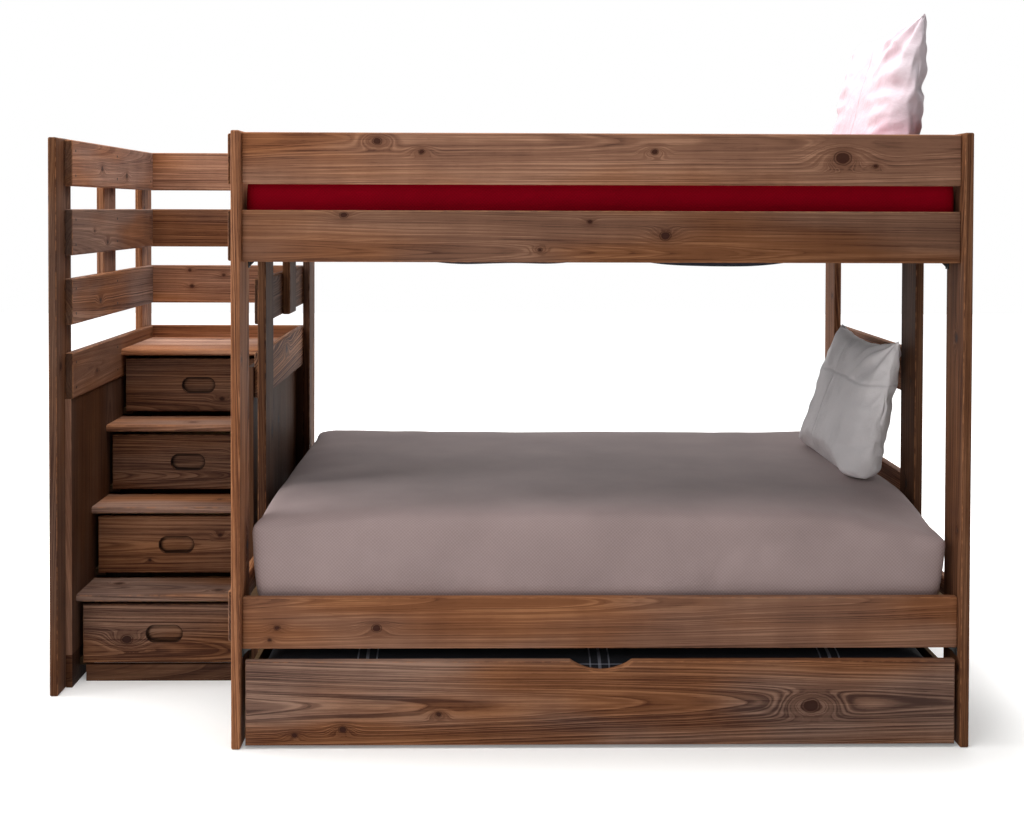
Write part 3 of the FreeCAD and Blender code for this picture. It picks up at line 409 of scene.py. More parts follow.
def bumped(graph, shader, height, depth, strength=1.0):
    """Lets a height between 0 and 1, depth metres tall, tilt the shader's normal."""
    bump = graph.add("ShaderNodeBump", {"Height": height, "Distance": depth, "Strength": strength})
    graph.feed(shader.inputs["Normal"], bump.outputs[0])


def dress(piece, material):
    """Gives a piece one material in every slot."""
    slots = piece.data.materials
    if not slots:
        slots.append(material)
    for index in range(len(slots)):
        slots[index] = material


def smooth(piece):
    for face in piece.data.polygons:
        face.use_smooth = True


def nodes_of(slot):
    """Names of the CAD nodes that take their finish from a slot of the record."""
    return [name for name, subpart in SUBPARTS.items() if subpart == slot]


def node_slots():
    found = {}
    for subpart in frame["record"]["subparts"]:
        found[subpart["node"]] = subpart["material_slot"]
    return found


SUBPARTS = node_slots()

# Knots of the planks that the photograph shows: along and across from the plank's middle, and radius
KNOTS = {
    "guard_rail_front": [(-0.61, 0.047, 0.011), (-0.49, 0.018, 0.008), (0.14, 0.020, 0.009),
                         (0.65, 0.005, 0.019), (0.74, -0.016, 0.007)],
    "upper_side_rail_front": [(0.17, 0.003, 0.013), (-0.70, 0.057, 0.010), (-0.035, 0.040, 0.007),
                              (-0.17, -0.036, 0.006)],
    "lower_side_rail_front": [(-0.88, -0.012, 0.008), (-0.61, -0.013, 0.012), (-0.90, -0.045, 0.006)],
    "trundle_front": [(0.57, -0.008, 0.020), (-0.70, -0.070, 0.010), (-0.83, -0.086, 0.008),
                      (-0.44, -0.030, 0.008)],
    "stair_back_boards": [(-0.127, 0.335, 0.008), (-0.135, 0.395, 0.006), (-0.008, 0.377, 0.007)],
    "stair_guard_board_2": [(-0.11, -0.038, 0.008), (-0.25, 0.0, 0.006)],
    "stair_guard_board_3": [(-0.19, -0.015, 0.009)],
    "left_end_board_fourth": [(0.018, 0.03, 0.015)],
    "drawer_front_1": [(-0.115, -0.018, 0.015)],
    "drawer_front_2": [(-0.085, -0.049, 0.006), (0.14, 0.030, 0.007)],
    "drawer_front_3": [(0.15, 0.035, 0.006)],
    "drawer_front_4": [(0.08, -0.048, 0.008)],
}
# Share of cool grey in the stain, and of contrast in the grain, where a plank differs from the rest
GREY_SHARES = {"left_end_board_fourth": 0.4, "stair_guard_board_1": 0.7, "stair_guard_board_2": 0.7,
               "stair_guard_board_3": 0.9, "upper_side_rail_front": 0.4, "guard_rail_front": 0.4,
               "trundle_front": 0.7, "stair_tread_1": 0.8, "stair_tread_2": 0.7, "stair_tread_3": 0.7,
               "stair_platform": 0.6, "post_mid_left": 0.1, "post_front_left": 0.1,
               "post_front_right": 0.1, "post_mid_right": 0.1, "post_back_right": 0.1}
CONTRAST_SHARES = {"left_end_board_fourth": 3.2, "trundle_front": 1.5, "lower_side_rail_front": 0.9,
                   "guard_rail_front": 1.3, "upper_side_rail_front": 1.2, "stair_guard_board_1": 1.2,
                   "stair_guard_board_2": 1.1, "stair_guard_board_3": 1.2, "stair_guard_board_4": 0.9,
                   "stair_panel_left": 0.9, "stair_panel_right": 0.9, "drawer_front_1": 2.4,
                   "drawer_front_2": 2.0, "drawer_front_3": 2.4, "drawer_front_4": 2.0}
# Share of contrast in the year rings, where they show more than the rest
RING_SHARES = {"left_end_board_fourth": 4.0, "trundle_front": 1.5, "lower_side_rail_front": 1.5,
               "stair_guard_board_3": 1.6}
# Share of the common tone of a plank, which scales its whole colour: partly stain that differs from plank to
# plank, partly painted shade and light. The mid posts, the stair's left panel, the slats, cleats, runners and
# trundle frame are darkened as painted shade of where they stand, and the platform is lightened as painted
# light from above
STAIN_AND_SHADE_SHARES = {
    "post_front_left": 1.2, "post_front_right": 0.57, "post_mid_left": 0.37, "post_mid_right": 0.3,
    "post_back_left": 0.6, "post_back_right": 1.0, "stair_post_front": 0.45, "stair_panel_left": 0.3,
    "stair_panel_right": 0.36, "stair_base_boards": 0.4, "drawer_front_1": 0.63, "drawer_front_2": 0.7,
    "drawer_front_3": 0.5, "drawer_front_4": 0.5, "stair_tread_1": 0.7, "stair_platform": 1.4,
    "stair_back_boards": 1.22, "left_end_board_fourth": 1.4, "left_end_board_third": 0.6,
    "left_end_board_second": 0.6, "left_end_batten": 0.45, "stair_guard_board_1": 1.12,
    "stair_guard_board_2": 0.78, "stair_guard_board_3": 0.86, "stair_guard_board_4": 0.72,
    "slat_cleats": 0.35, "lower_slats": 0.4, "drawer_runners": 0.25, "trundle_frame": 0.45,
}
# The same share at the low and the high end of a plank that darkens along it: painted light that falls off
# from the foot end, where the lamps stand, towards the head end
LIGHT_FALLOFF_SHARES = {
    "guard_rail_front": (1.22, 0.98), "upper_side_rail_front": (0.96, 0.64),
    "lower_side_rail_front": (0.95, 0.92), "trundle_front": (0.86, 0.78),
}
# Share of that tone on the faces that look to the front: painted light on the lit front edge of a panel whose
# side is darkened as painted shade
FRONT_LIGHT_SHARES = {"stair_panel_left": 3.2}
# Share of the tone on sawn ends, which drink stain, and in and round the finger pulls, as painted shade of
# the recess
END_SHARE = 0.4
PULL_SHADE_SHARE = 0.22
# Finger pull of a drawer: half of its straight part, radius of its ends, and how far into the recess its
# painted shade reaches
PULL_STRAIGHT = 0.0295
PULL_RADIUS = 0.026
PULL_SHADE_REACH = 0.013
# Share of the tone of each back board of the stair guard, from the lowest up
BACK_BOARD_SHARES = (1.0, 0.97, 0.66, 1.02)
ALONG_BED = ("stair_back_boards", "stair_base_boards")
UPRIGHT = ("stair_panel_left", "stair_panel_right")


def grain_axes(name, low, high):
    """Axes along the grain, across the face and through the thickness of a plank."""
    size = high - low
    order = sorted(range(3), key=lambda axis: -size[axis])
    if name in ALONG_BED:
        order = [0, 2, 1]
    if name in UPRIGHT:
        order = [2, 1, 0]
    return order


def toned(graph, tone, mask, share):
    """A tone multiplied by a share where the mask is 1."""
    return graph.math("MULTIPLY", tone, graph.math("MULTIPLY_ADD", mask, share - 1, 1))


def pull_shade(graph, parts):
    """A mask of painted shade in and round the finger pull in the middle of a drawer's front: growing towards
    the rim inside the recess, with a thin line just outside it.
    """
    beyond = graph.math("SUBTRACT", graph.math("ABSOLUTE", parts[0]), PULL_STRAIGHT)
    beyond = graph.math("MAXIMUM", beyond, 0)
    reach = graph.math("SUBTRACT", graph.length(graph.join(beyond, parts[2], 0.0)), PULL_RADIUS)
    return graph.math("SUBTRACT", graph.step(reach, -PULL_SHADE_REACH, 0), graph.step(reach, 0.001, 0.003))


def plank_material(name, knots, stained=True):
    """Pine of one plank or of a set of like boards, with its own rings and knots."""
    pine = settings().pine
    low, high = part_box(name)
    centre = (low + high) / 2
    dice = random.Random(name)
    material, graph, shader, coordinates = new_material("pine_" + name)
    parts = graph.split(graph.vector("SUBTRACT", coordinates["Object"], tuple(centre)))
    order = grain_axes(name, low, high)
    local = graph.join(*[parts[axis] for axis in order])
    # The tone carries painted shade and light besides the stain of each plank
    level = STAIN_AND_SHADE_SHARES.get(name, 1.0)
    # Painted falloff of light along the plank, from its low end to its high end
    first, last = LIGHT_FALLOFF_SHARES.get(name, (level, level))
    slope = (last - first) / (high[order[0]] - low[order[0]])
    tone = graph.math("MULTIPLY_ADD", parts[order[0]], slope, (first + last) / 2)
    normal = graph.add("ShaderNodeNewGeometry").outputs["True Normal"]
    facing = graph.split(normal)
    sawn = graph.step(graph.math("ABSOLUTE", facing[order[0]]), 0.6, 0.9)
    tone = toned(graph, tone, sawn, END_SHARE)
    # Painted light on the faces that look to the front, which the lamps reach
    if name in FRONT_LIGHT_SHARES:
        tone = toned(graph, tone, graph.step(facing[1], -0.5, -0.9), FRONT_LIGHT_SHARES[name])
    # Painted shade in and round the finger pull
    if name.startswith("drawer_front"):
        tone = toned(graph, tone, pull_shade(graph, parts), PULL_SHADE_SHARE)
    seed = tuple(dice.uniform(-40, 40) for _ in AXES)
    pith = (0, dice.uniform(-0.10, 0.10), dice.choice((-1, 1)) * dice.uniform(0.05, 0.15))
    if name == "stair_back_boards":
        for board, share in zip(range(1, 5), reversed(BACK_BOARD_SHARES)):
            start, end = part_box(f"stair_guard_board_{board}")
            above = graph.step(parts[2], start.z - centre.z - 0.01, start.z - centre.z)
            below = graph.step(parts[2], end.z - centre.z + 0.01, end.z - centre.z)
            within = graph.math("MULTIPLY", above, below)
            tone = toned(graph, tone, within, share)
            mask = graph.join(within, within, within)
            seed = graph.vector("MULTIPLY_ADD", mask, (3.7 * board, 1.3, 2.9), seed)
    swell, core, halo = 0.0, 0.0, 0.0
    knot_tree = shared_group("pine_knot", build_knot_group)
    for along, across, radius in knots:
        knot = graph.place(knot_tree, {"Position": local, "Centre": (along, across, 0), "Radius": radius})
        swell = graph.math("ADD", swell, knot["Swell"])
        core = graph.math("MAXIMUM", core, knot["Core"])
        halo = graph.math("MAXIMUM", halo, knot["Halo"])
    if stained:
        tints = {"Pale": pine.pale, "Body": pine.body, "Deep": pine.deep, "Knot": pine.knot}
        greyness = GREY_SHARES.get(name, dice.uniform(0.15, 0.5))
    else:
        tints = {"Pale": pine.raw_pale, "Body": pine.raw_body, "Deep": pine.raw_deep, "Knot": pine.raw_knot}
        greyness = 0.2
    wood = graph.place(shared_group("sawn_pine", build_pine_group), {
        "Position": local, "Seed": seed, "Pith": pith, "Slope": dice.uniform(0.012, 0.035),
        "Pitch": pine.ring_pitch * dice.uniform(0.85, 1.2), "Wander": pine.wander,
        "Contrast": CONTRAST_SHARES.get(name, 1.6), "Rings": RING_SHARES.get(name, 1.0),
        "Greyness": greyness, "Tone": tone,
        "Swell": swell, "Core": core, "Halo": halo, **tints})
    edge = graph.place(shared_group("edge_wear_and_highlight", build_edge_wear_and_highlight_group),
                       {"Normal": normal, "Position": coordinates["Object"]})
    # Paler rounded edges: rubbed wear and a painted highlight along them
    worn_and_highlit = graph.mix(graph.math("MULTIPLY", edge["Wear_and_highlight"], 0.45), wood["Color"], tints["Pale"])
    graph.feed(shader.inputs["Base Color"], worn_and_highlit)
    graph.feed(shader.inputs["Roughness"], wood["Roughness"])
    shader.inputs["Specular IOR Level"].default_value = 0.08
    bumped(graph, shader, wood["Height"], 0.0005, 0.6)
    return material


def cover_material(name, tint, sheen=0.15, gloss=0.2):
    """Knitted cover cloth of one colour."""
    material, graph, shader, coordinates = new_material(name)
    weave = graph.place(shared_group("cover_weave", build_weave_group),
                        {"Position": coordinates["Object"], "Pitch": settings().bedding.weave_pitch})
    dark = tuple(part * 0.70 for part in tint)
    light = tuple(min(1.0, part * 1.16) for part in tint)
    share = graph.total(graph.math("MULTIPLY", weave["Diamond"], 0.36),
                        graph.about_middle(weave["Fuzz"], 0.4),
                        graph.about_middle(weave["Shade"], 0.6), 0.38)
    graph.feed(shader.inputs["Base Color"], graph.mix(graph.step(share, 0, 1), dark, light))
    graph.feed(shader.inputs["Roughness"], graph.math("MULTIPLY_ADD", weave["Fuzz"], 0.2, 0.74))
    shader.inputs["Specular IOR Level"].default_value = gloss
    shader.inputs["Sheen Weight"].default_value = sheen
    shader.inputs["Sheen Roughness"].default_value = 0.5
    height = graph.total(weave["Diamond"], graph.math("MULTIPLY", weave["Fuzz"], 0.6))
    bumped(graph, shader, height, 0.0004, 0.6)
    return material


def case_material(name, tint, shadow_tint, creases, tinged):
    """Plain woven cotton of a pillowcase, creased from its folding.

    A crease is an axis of the frame and a place along it. The shadow tint grows below the height tinged.
    """
    material, graph, shader, coordinates = new_material(name)
    place = coordinates["Object"]
    parts = graph.split(place)
    shade = graph.noise(place, scale=7, detail=3)[0]
    slub = graph.noise(graph.vector("MULTIPLY", place, (900, 900, 60)), detail=2)[0]
    cross = graph.noise(graph.vector("MULTIPLY", place, (900, 60, 900)), detail=2)[0]
    low = graph.math("SUBTRACT", 1, graph.step(parts[2], tinged - 0.35, tinged))
    share = graph.total(graph.about_middle(shade, 1.0), graph.about_middle(slub, 0.30),
                        graph.about_middle(cross, 0.30), graph.math("MULTIPLY", low, -0.35), 0.85)
    graph.feed(shader.inputs["Base Color"], graph.mix(graph.step(share, 0, 1), shadow_tint, tint))
    graph.feed(shader.inputs["Roughness"], graph.math("MULTIPLY_ADD", slub, 0.2, 0.72))
    shader.inputs["Specular IOR Level"].default_value = 0.2
    shader.inputs["Sheen Weight"].default_value = 0.1
    crumple = graph.noise(place, scale=22, detail=4)[0]
    height = graph.total(graph.math("MULTIPLY", crumple, 0.9), graph.math("MULTIPLY", slub, 0.04),
                         graph.math("MULTIPLY", cross, 0.04))
    wobble = graph.about_middle(graph.noise(place, scale=5)[0], 0.03)
    for axis, spot in creases:
        offset = graph.math("MULTIPLY", graph.total(parts[axis], wobble, -spot), 160)
        ridge = graph.math("EXPONENT", graph.math("MULTIPLY", graph.math("MULTIPLY", offset, offset), -1))
        height = graph.math("MULTIPLY_ADD", ridge, -0.7, height)
    bumped(graph, shader, height, 0.007, 0.9)
    return material


def check_material(name):
    """A woven check of two tones, bands the same both ways."""
    bedding = settings().bedding
    material, graph, shader, coordinates = new_material(name)
    weave = graph.place(shared_group("cover_weave", build_weave_group),
                        {"Position": coordinates["Object"], "Pitch": 0.002})
    parts = graph.split(coordinates["Object"])
    bands = []
    low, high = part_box("trundle_mattress")
    for part, start in ((parts[0], (low.x + high.x) / 2),
                        (graph.math("ADD", parts[1], parts[2]), low.y + high.z - bedding.check_gap)):
        turn = graph.math("DIVIDE", graph.math("SUBTRACT", part, start), bedding.check_pitch)
        phase = graph.math("FRACT", graph.math("ADD", turn, 0.5))
        away = graph.math("ABSOLUTE", graph.about_middle(phase, bedding.check_pitch))
        middle = graph.step(away, bedding.check_line * 1.2, bedding.check_line)
        beside = graph.math("ABSOLUTE", graph.math("SUBTRACT", away, bedding.check_gap))
        thin = graph.step(beside, bedding.check_line * 0.6, bedding.check_line * 0.5)
        bands.append(graph.math("ADD", middle, thin))
    share = graph.math("MULTIPLY", graph.math("ADD", bands[0], bands[1]), 0.5)
    # The dark ground doubles as painted shade of the gap under the lower rail
    tint = graph.mix(share, bedding.check_dark, bedding.check_light)
    worn = graph.mix(graph.math("MULTIPLY", weave["Fuzz"], 0.10), tint, bedding.check_light)
    graph.feed(shader.inputs["Base Color"], worn)
    graph.feed(shader.inputs["Roughness"], graph.math("MULTIPLY_ADD", weave["Fuzz"], 0.2, 0.74))
    shader.inputs["Specular IOR Level"].default_value = 0.2
    bumped(graph, shader, weave["Diamond"], 0.0003, 0.5)
    return material


def hard_material(name, tint, roughness, metallic, mottle):
    """Painted steel or moulded plastic, a little uneven, with paler edges of rubbed wear and a painted
    highlight.
    """
    material, graph, shader, coordinates = new_material(name)
    place = coordinates["Object"]
    speckle = graph.noise(place, scale=420, detail=2)[0]
    cloud = graph.noise(place, scale=24, detail=3)[0]
    edge = graph.place(shared_group("edge_wear_and_highlight", build_edge_wear_and_highlight_group),
                       {"Normal": coordinates["Normal"], "Position": place})
    # Paler edges: rubbed wear and a painted highlight along them
    light = tuple(min(1.0, part * 3 + 0.03) for part in tint)
    share = graph.total(graph.math("MULTIPLY", edge["Wear_and_highlight"], 0.35), graph.about_middle(cloud, mottle),
                        graph.math("MULTIPLY", speckle, 0.08))
    graph.feed(shader.inputs["Base Color"], graph.mix(share, tint, light))
    graph.feed(shader.inputs["Roughness"], graph.math("MULTIPLY_ADD", cloud, 0.25, roughness - 0.12))
    shader.inputs["Metallic"].default_value = metallic
    bumped(graph, shader, speckle, 0.0002, 0.4)
    return material


def new_piece(name, mesh_builder):
    """An object from a bmesh, linked to the scene."""
    mesh = bpy.data.meshes.new(name)
    mesh_builder.to_mesh(mesh)
    mesh_builder.free()
    piece = bpy.data.objects.new(name, mesh)
    bpy.context.scene.collection.objects.link(piece)
    smooth(piece)
    return piece


def block_builder(low, high, step):
    """A closed box of near-square faces."""
    builder = bmesh.new()
    size = high - low
    counts = [max(3, round(side / step)) for side in size]
    corners = {}

    def corner(index):
        key = tuple(index)
        if key not in corners:
            corners[key] = builder.verts.new([low[a] + size[a] * key[a] / counts[a] for a in range(3)])
        return corners[key]

    for axis in range(3):
        first, second = (axis + 1) % 3, (axis + 2) % 3
        for level in (0, counts[axis]):
            for i in range(counts[first]):
                for j in range(counts[second]):
                    loop = []
                    for di, dj in ((0, 0), (1, 0), (1, 1), (0, 1)):
                        index = [0, 0, 0]
                        index[axis] = level
                        index[first] = i + di
                        index[second] = j + dj
                        loop.append(corner(index))
                    builder.faces.new(loop if level else loop[::-1])
    return builder


def fillet(reach, rise, radius):
    """How far behind its two faces a point of a square edge lies once the edge is rounded."""
    across, up = radius - reach, radius - rise
    if across <= 0 or up <= 0:
        return reach, rise
    scale = radius / math.hypot(across, up)
    return radius - across * scale, radius - up * scale


def corner_turned(x, y, half, radius):
    """A point of a plan with square corners moved to the same plan with round ones."""
    over_x, over_y = abs(x) - half.x + radius, abs(y) - half.y + radius
    if over_x <= 0 or over_y <= 0:
        return x, y
    scale = max(over_x, over_y) / math.hypot(over_x, over_y)
    return (math.copysign(half.x - radius + over_x * scale, x),
            math.copysign(half.y - radius + over_y * scale, y))


class Padding(NamedTuple):
    """Form of a mattress: radii of its edges and corners, crown of its top, and how its cover shapes it.

    The droops are how far its front corners sink, at the low and the high end.
    """
    top: float
    foot: float
    corner_top: float
    corner_foot: float
    crown: float
    draw_in: float
    swell: float
    wave: float
    droops: tuple = (0, 0)


def mattress_builder(low, high, step, form):
    """A mattress: crowned top, soft edges, sides that belly a little, corners drawn in at the bottom."""
    builder = block_builder(low, high, step)
    middle = (low + high) / 2
    half = (high - low) / 2
    for vert in builder.verts:
        x, y = vert.co.x - middle.x, vert.co.y - middle.y
        depths = (half.x - abs(x), half.y - abs(y))
        nearest = min(depths)
        reach, drop = fillet(nearest, high.z - vert.co.z, form.top)
        z = high.z - drop
        if reach == nearest:
            reach, rise = fillet(nearest, z - low.z, form.foot)
            z = low.z + rise
        height = (z - low.z) / (high.z - low.z)
        side = max(0.0, 1 - nearest / 0.05)
        inward = reach - nearest + form.swell * side * (1 - math.sin(math.pi * height))
        if depths[0] < nearest + form.swell:
            x -= math.copysign(inward, x)
        if depths[1] < nearest + form.swell:
            y -= math.copysign(inward, y)
        corner = form.corner_foot + (form.corner_top - form.corner_foot) * height ** 0.8
        x, y = corner_turned(x, y, half, corner)
        near = max(0.0, 1 - math.hypot(half.x - abs(x), half.y - abs(y)) / 0.2)
        pull = form.draw_in * near * (1 - height) ** 1.5
        x -= math.copysign(pull, x)
        y -= math.copysign(pull, y) * 0.4
        fall = form.crown * max(abs(x / half.x) ** 6, abs(y / half.y) ** 4) * height
        ripple = noise.noise(Vector((x * 2.3, y * 3.4, low.z * 3)))
        ripple += 0.5 * noise.noise(Vector((x * 6, y * 7, 4.2)))
        for end, droop in zip((-1, 1), form.droops):
            away = math.hypot(half.x - end * x, half.y + y)
            fall += droop * math.exp(-(away / 0.24) ** 2) * height ** 2
        z += form.wave * (ripple - 0.9) * max(0.0, height - 0.5) - fall
        vert.co = Vector((middle.x + x, middle.y + y, z))
    return builder


def cloth_puff(piece, frames, held, pressure, cap, tension, bending, shrink):
    """Blows a closed piece up as cloth under pressure, with the held points pinned, and keeps the result."""
    scene = bpy.context.scene
    start = [vert.co.copy() for vert in piece.data.vertices]
    pins = [vert.index for vert in piece.data.vertices if held(vert.co)]
    cloth = piece.modifiers.new("cover", "CLOTH")
    cloth.settings.quality = 6
    cloth.settings.mass = 0.25
    cloth.settings.tension_stiffness = tension
    cloth.settings.compression_stiffness = tension * 0.5
    cloth.settings.shear_stiffness = tension * 0.4
    cloth.settings.bending_stiffness = bending
    cloth.settings.shrink_min = shrink
    cloth.settings.use_pressure = True
    cloth.settings.uniform_pressure_force = pressure
    cloth.settings.effector_weights.gravity = 0
    cloth.collision_settings.use_collision = False
    cloth.point_cache.frame_start = 1
    cloth.point_cache.frame_end = frames
    if pins:
        piece.vertex_groups.new(name="held").add(pins, 1.0, "REPLACE")
        cloth.settings.vertex_group_mass = "held"
    for step in range(1, frames + 1):
        scene.frame_set(step)
    view = bpy.context.evaluated_depsgraph_get()
    blown = piece.evaluated_get(view).to_mesh()
    for vert, first, last in zip(piece.data.vertices, start, blown.vertices):
        move = last.co - first
        if move.length > cap:
            move = move.normalized() * cap
        vert.co = first + move
    piece.modifiers.remove(cloth)
    scene.frame_set(1)


def subdivided(piece):
    surface = piece.modifiers.new("smooth_cover", "SUBSURF")
    surface.levels = 1
    surface.render_levels = 1


def soft_piece(piece, node, body):
    """Puts a padded piece in the place of its CAD solid."""
    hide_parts(node)
    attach(piece, body)


# Share of a face's side by which smoothing draws a square edge in
SMOOTHING_SHARE = 0.2


def make_mattress(name, node, body, material, form, step, slack=0.0):
    """A mattress in its fitted cover, which relaxes as cloth about it and stands slack at the ends."""
    bedding = settings().bedding
    low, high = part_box(node)
    spare = Vector((step * SMOOTHING_SHARE + slack, step * SMOOTHING_SHARE, 0))
    low, high = low - spare, high + spare
    piece = new_piece(name, mattress_builder(low, high, step, form))
    floor = low.z + (high.z - low.z) * 0.18

    def held(point):
        to_end = min(point.x - low.x, high.x - point.x)
        to_side = min(point.y - low.y, high.y - point.y)
        return point.z < floor or max(to_end, to_side) < 0.05

    cloth_puff(piece, bedding.mattress_frames, held, pressure=1.2, cap=0.006, tension=10, bending=0.4,
               shrink=-0.012)
    for vert in piece.data.vertices:
        vert.co = [min(max(vert.co[a], low[a]), high[a]) for a in range(3)]
    subdivided(piece)
    dress(piece, material)
    soft_piece(piece, node, body)
    return piece


class Filling(NamedTuple):
    """Form of a pillow: its size, the dip of its upper edge, its corners, and the pleats of its case."""
    wide: float
    tall: float
    thick: float
    back_share: float
    dip: float
    back_ear: float
    foot: float
    pleat: float
    gather: float


def case_folds(y, z, half, form):
    """Pleats that run out from the ears and gathers along the side seams, as a height above the filling."""
    height = 0.0
    for side, strength in ((-1, 1.0), (1, 0.6)):
        away_y, away_z = half.x - side * y, half.y - z
        reach = math.hypot(away_y, away_z)
        bearing = math.atan2(away_z, away_y) + 0.5 * noise.noise(Vector((y * 7, z * 7, side)))
        near = math.exp(-(reach / 0.24) ** 2) * min(1.0, reach / 0.06)
        height += form.pleat * strength * near * math.sin(11 * bearing)
        seam = math.exp(-away_y / 0.13) * min(1.0, away_y / 0.03)
        ridge = 0.4 - abs(noise.noise(Vector((z * 20, y * 5, side * 3.7)))) * 2
        height += form.gather * strength * seam * ridge
    return height


def pillow_builder(form, step):
    """Two faces of cloth sewn along one edge, standing in the YZ plane, fullest where it sits."""
    builder = bmesh.new()
    across, up = round(form.wide / step), round(form.tall / step)
    half = Vector((form.wide / 2, form.tall / 2))
    corners = {}
    for side in (-1, 1):
        for i in range(across + 1):
            for j in range(up + 1):
                sewn = i in (0, across) or j in (0, up)
                key = (i, j, 0 if sewn else side)
                if key in corners:
                    continue
                turn_y, turn_z = math.pi * (i / across - 0.5), math.pi * (j / up - 0.5)
                y, z = math.sin(turn_y), math.sin(turn_z)
                fullness = 0.0
                if not sewn:
                    base = math.sqrt(1 - (max(0.0, -z - 0.86) / 0.14) ** 2)
                    ends = math.sqrt(1 - abs(y) ** (16 - 5.5 * (z + 1)))
                    fullness = base * ends * (0.5 - 0.5 * z) ** 0.5
                dip = 1 - form.dip * (1 - y * y) if z > 0 else 1
                y, z = y * half.x, z * dip * half.y
                depth = form.thick * (form.back_share if side > 0 else 1 - form.back_share)
                x = side * (fullness * depth + min(1.0, 3 * fullness) * case_folds(y, z, half, form))
                ear = form.foot if z < 0 else (form.back_ear if y > 0 else 0.0)
                corners[key] = builder.verts.new((x, *corner_turned(y, z, half, ear)))
        for i in range(across):
            for j in range(up):
                loop = []
                for di, dj in ((0, 0), (1, 0), (1, 1), (0, 1)):
                    m, n = i + di, j + dj
                    sewn = m in (0, across) or n in (0, up)
                    loop.append(corners[(m, n, 0 if sewn else side)])
                builder.faces.new(loop if side > 0 else loop[::-1])
    return builder


def fitted(piece, low, high):
    """Moves and stretches a piece's points so that its box is the given one."""
    points = [vert.co for vert in piece.data.vertices]
    least = Vector([min(point[a] for point in points) for a in range(3)])
    most = Vector([max(point[a] for point in points) for a in range(3)])
    for vert in piece.data.vertices:
        shares = [(vert.co[a] - least[a]) / (most[a] - least[a]) for a in range(3)]
        vert.co = [low[a] + shares[a] * (high[a] - low[a]) for a in range(3)]


def leaning(angle):
    """A shear that leans a standing piece toward the head end and leaves its foot flat."""
    shear = Matrix.Identity(4)
    shear[0][2] = math.tan(angle)
    return shear


def make_pillow(name, node, material, form, lean):
    """A stuffed pillow leaning on the head end, in a case with more cloth than the filling needs."""
    bedding = settings().bedding
    piece = new_piece(name, pillow_builder(form, bedding.pillow_step))
    cloth_puff(piece, bedding.pillow_frames, lambda point: False, pressure=0.8, cap=0.02, tension=12,
               bending=0.03, shrink=-0.03)
    piece.data.transform(leaning(lean))
    low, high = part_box(node)
    fitted(piece, low, high)
    subdivided(piece)
    dress(piece, material)
    soft_piece(piece, node, "frame")
    return piece


def screw_builder(places, radius):
    """Countersunk screw heads with a cross recess, at places with their outward directions."""
    builder = bmesh.new()
    sides = 16
    profile = [(1.0, -0.10), (0.96, 0.06), (0.80, 0.11), (0.46, 0.12), (0.30, -0.30), (0.0, -0.36)]
    for place, direction in places:
        turn = direction.to_track_quat("Z", "Y").to_matrix()
        rings = []
        for reach, rise in profile:
            ring = []
            for k in range(sides):
                slot = 1.25 if reach in (0.46, 0.30) and k % 4 == 0 else 0.8
                spread = reach * slot if reach < 0.5 else reach
                bearing = 2 * math.pi * k / sides
                spot = Vector((math.cos(bearing) * spread, math.sin(bearing) * spread, rise)) * radius
                ring.append(builder.verts.new(place + turn @ spot))
                if reach == 0.0:
                    break
            rings.append(ring)
        for outer, inner in zip(rings, rings[1:]):
            for k in range(sides):
                after = (k + 1) % sides
                if len(inner) == 1:
                    builder.faces.new((outer[k], outer[after], inner[0]))
                else:
                    builder.faces.new((outer[k], outer[after], inner[after], inner[k]))
    return builder


def board_screws(board, carriers, axis, outward, inset):
    """Two screws at each crossing of a board with the uprights that carry it, on the board's open face."""
    low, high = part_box(board)
    face = high[axis] if outward > 0 else low[axis]
    direction = Vector((0, 0, 0))
    direction[axis] = outward
    other = 1 - axis
    places = []
    for carrier in carriers:
        start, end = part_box(carrier)
        first, last = max(low[other], start[other]), min(high[other], end[other])
        if last - first < inset:
            continue
        for side in (-1, 1):
            place = Vector((0, 0, (low.z + high.z) / 2 + side * inset))
            place[axis] = face
            place[other] = (first + last) / 2
            places.append((place, direction))
    return places


class BUNK_OT_stage(bpy.types.Operator):
    """Adds the floor, the lights, the white surround and the camera."""
    bl_idname = "bunk.stage"
    bl_label = "Stage"

    def execute(self, context):
        stage = settings().stage
        add_floor(stage)
        add_surround(stage)
        lamp("front_light", (-2.6, -5.2, 3.4), (3.4, 3.0), stage.front_power)
        lamp("left_light", (-5.0, -0.5, 3.2), (3.0, 3.0), stage.left_power)
        lamp("top_light", (0.2, -0.4, 5.5), (4.5, 3.5), stage.top_power)
        lamp("back_light", (0.2, 4.5, 4.0), (4.0, 3.0), stage.back_power)
        add_camera(stage)
        context.scene.view_settings.view_transform = "Standard"
        return {"FINISHED"}


def light_path_share(graph):
    """1 for what the camera sees directly, in a mirror or through glass."""
    path = graph.add("ShaderNodeLightPath").outputs
    seen = graph.math("MAXIMUM", path["Is Camera Ray"], path["Is Glossy Ray"])
    return graph.math("MAXIMUM", seen, path["Is Transmission Ray"])


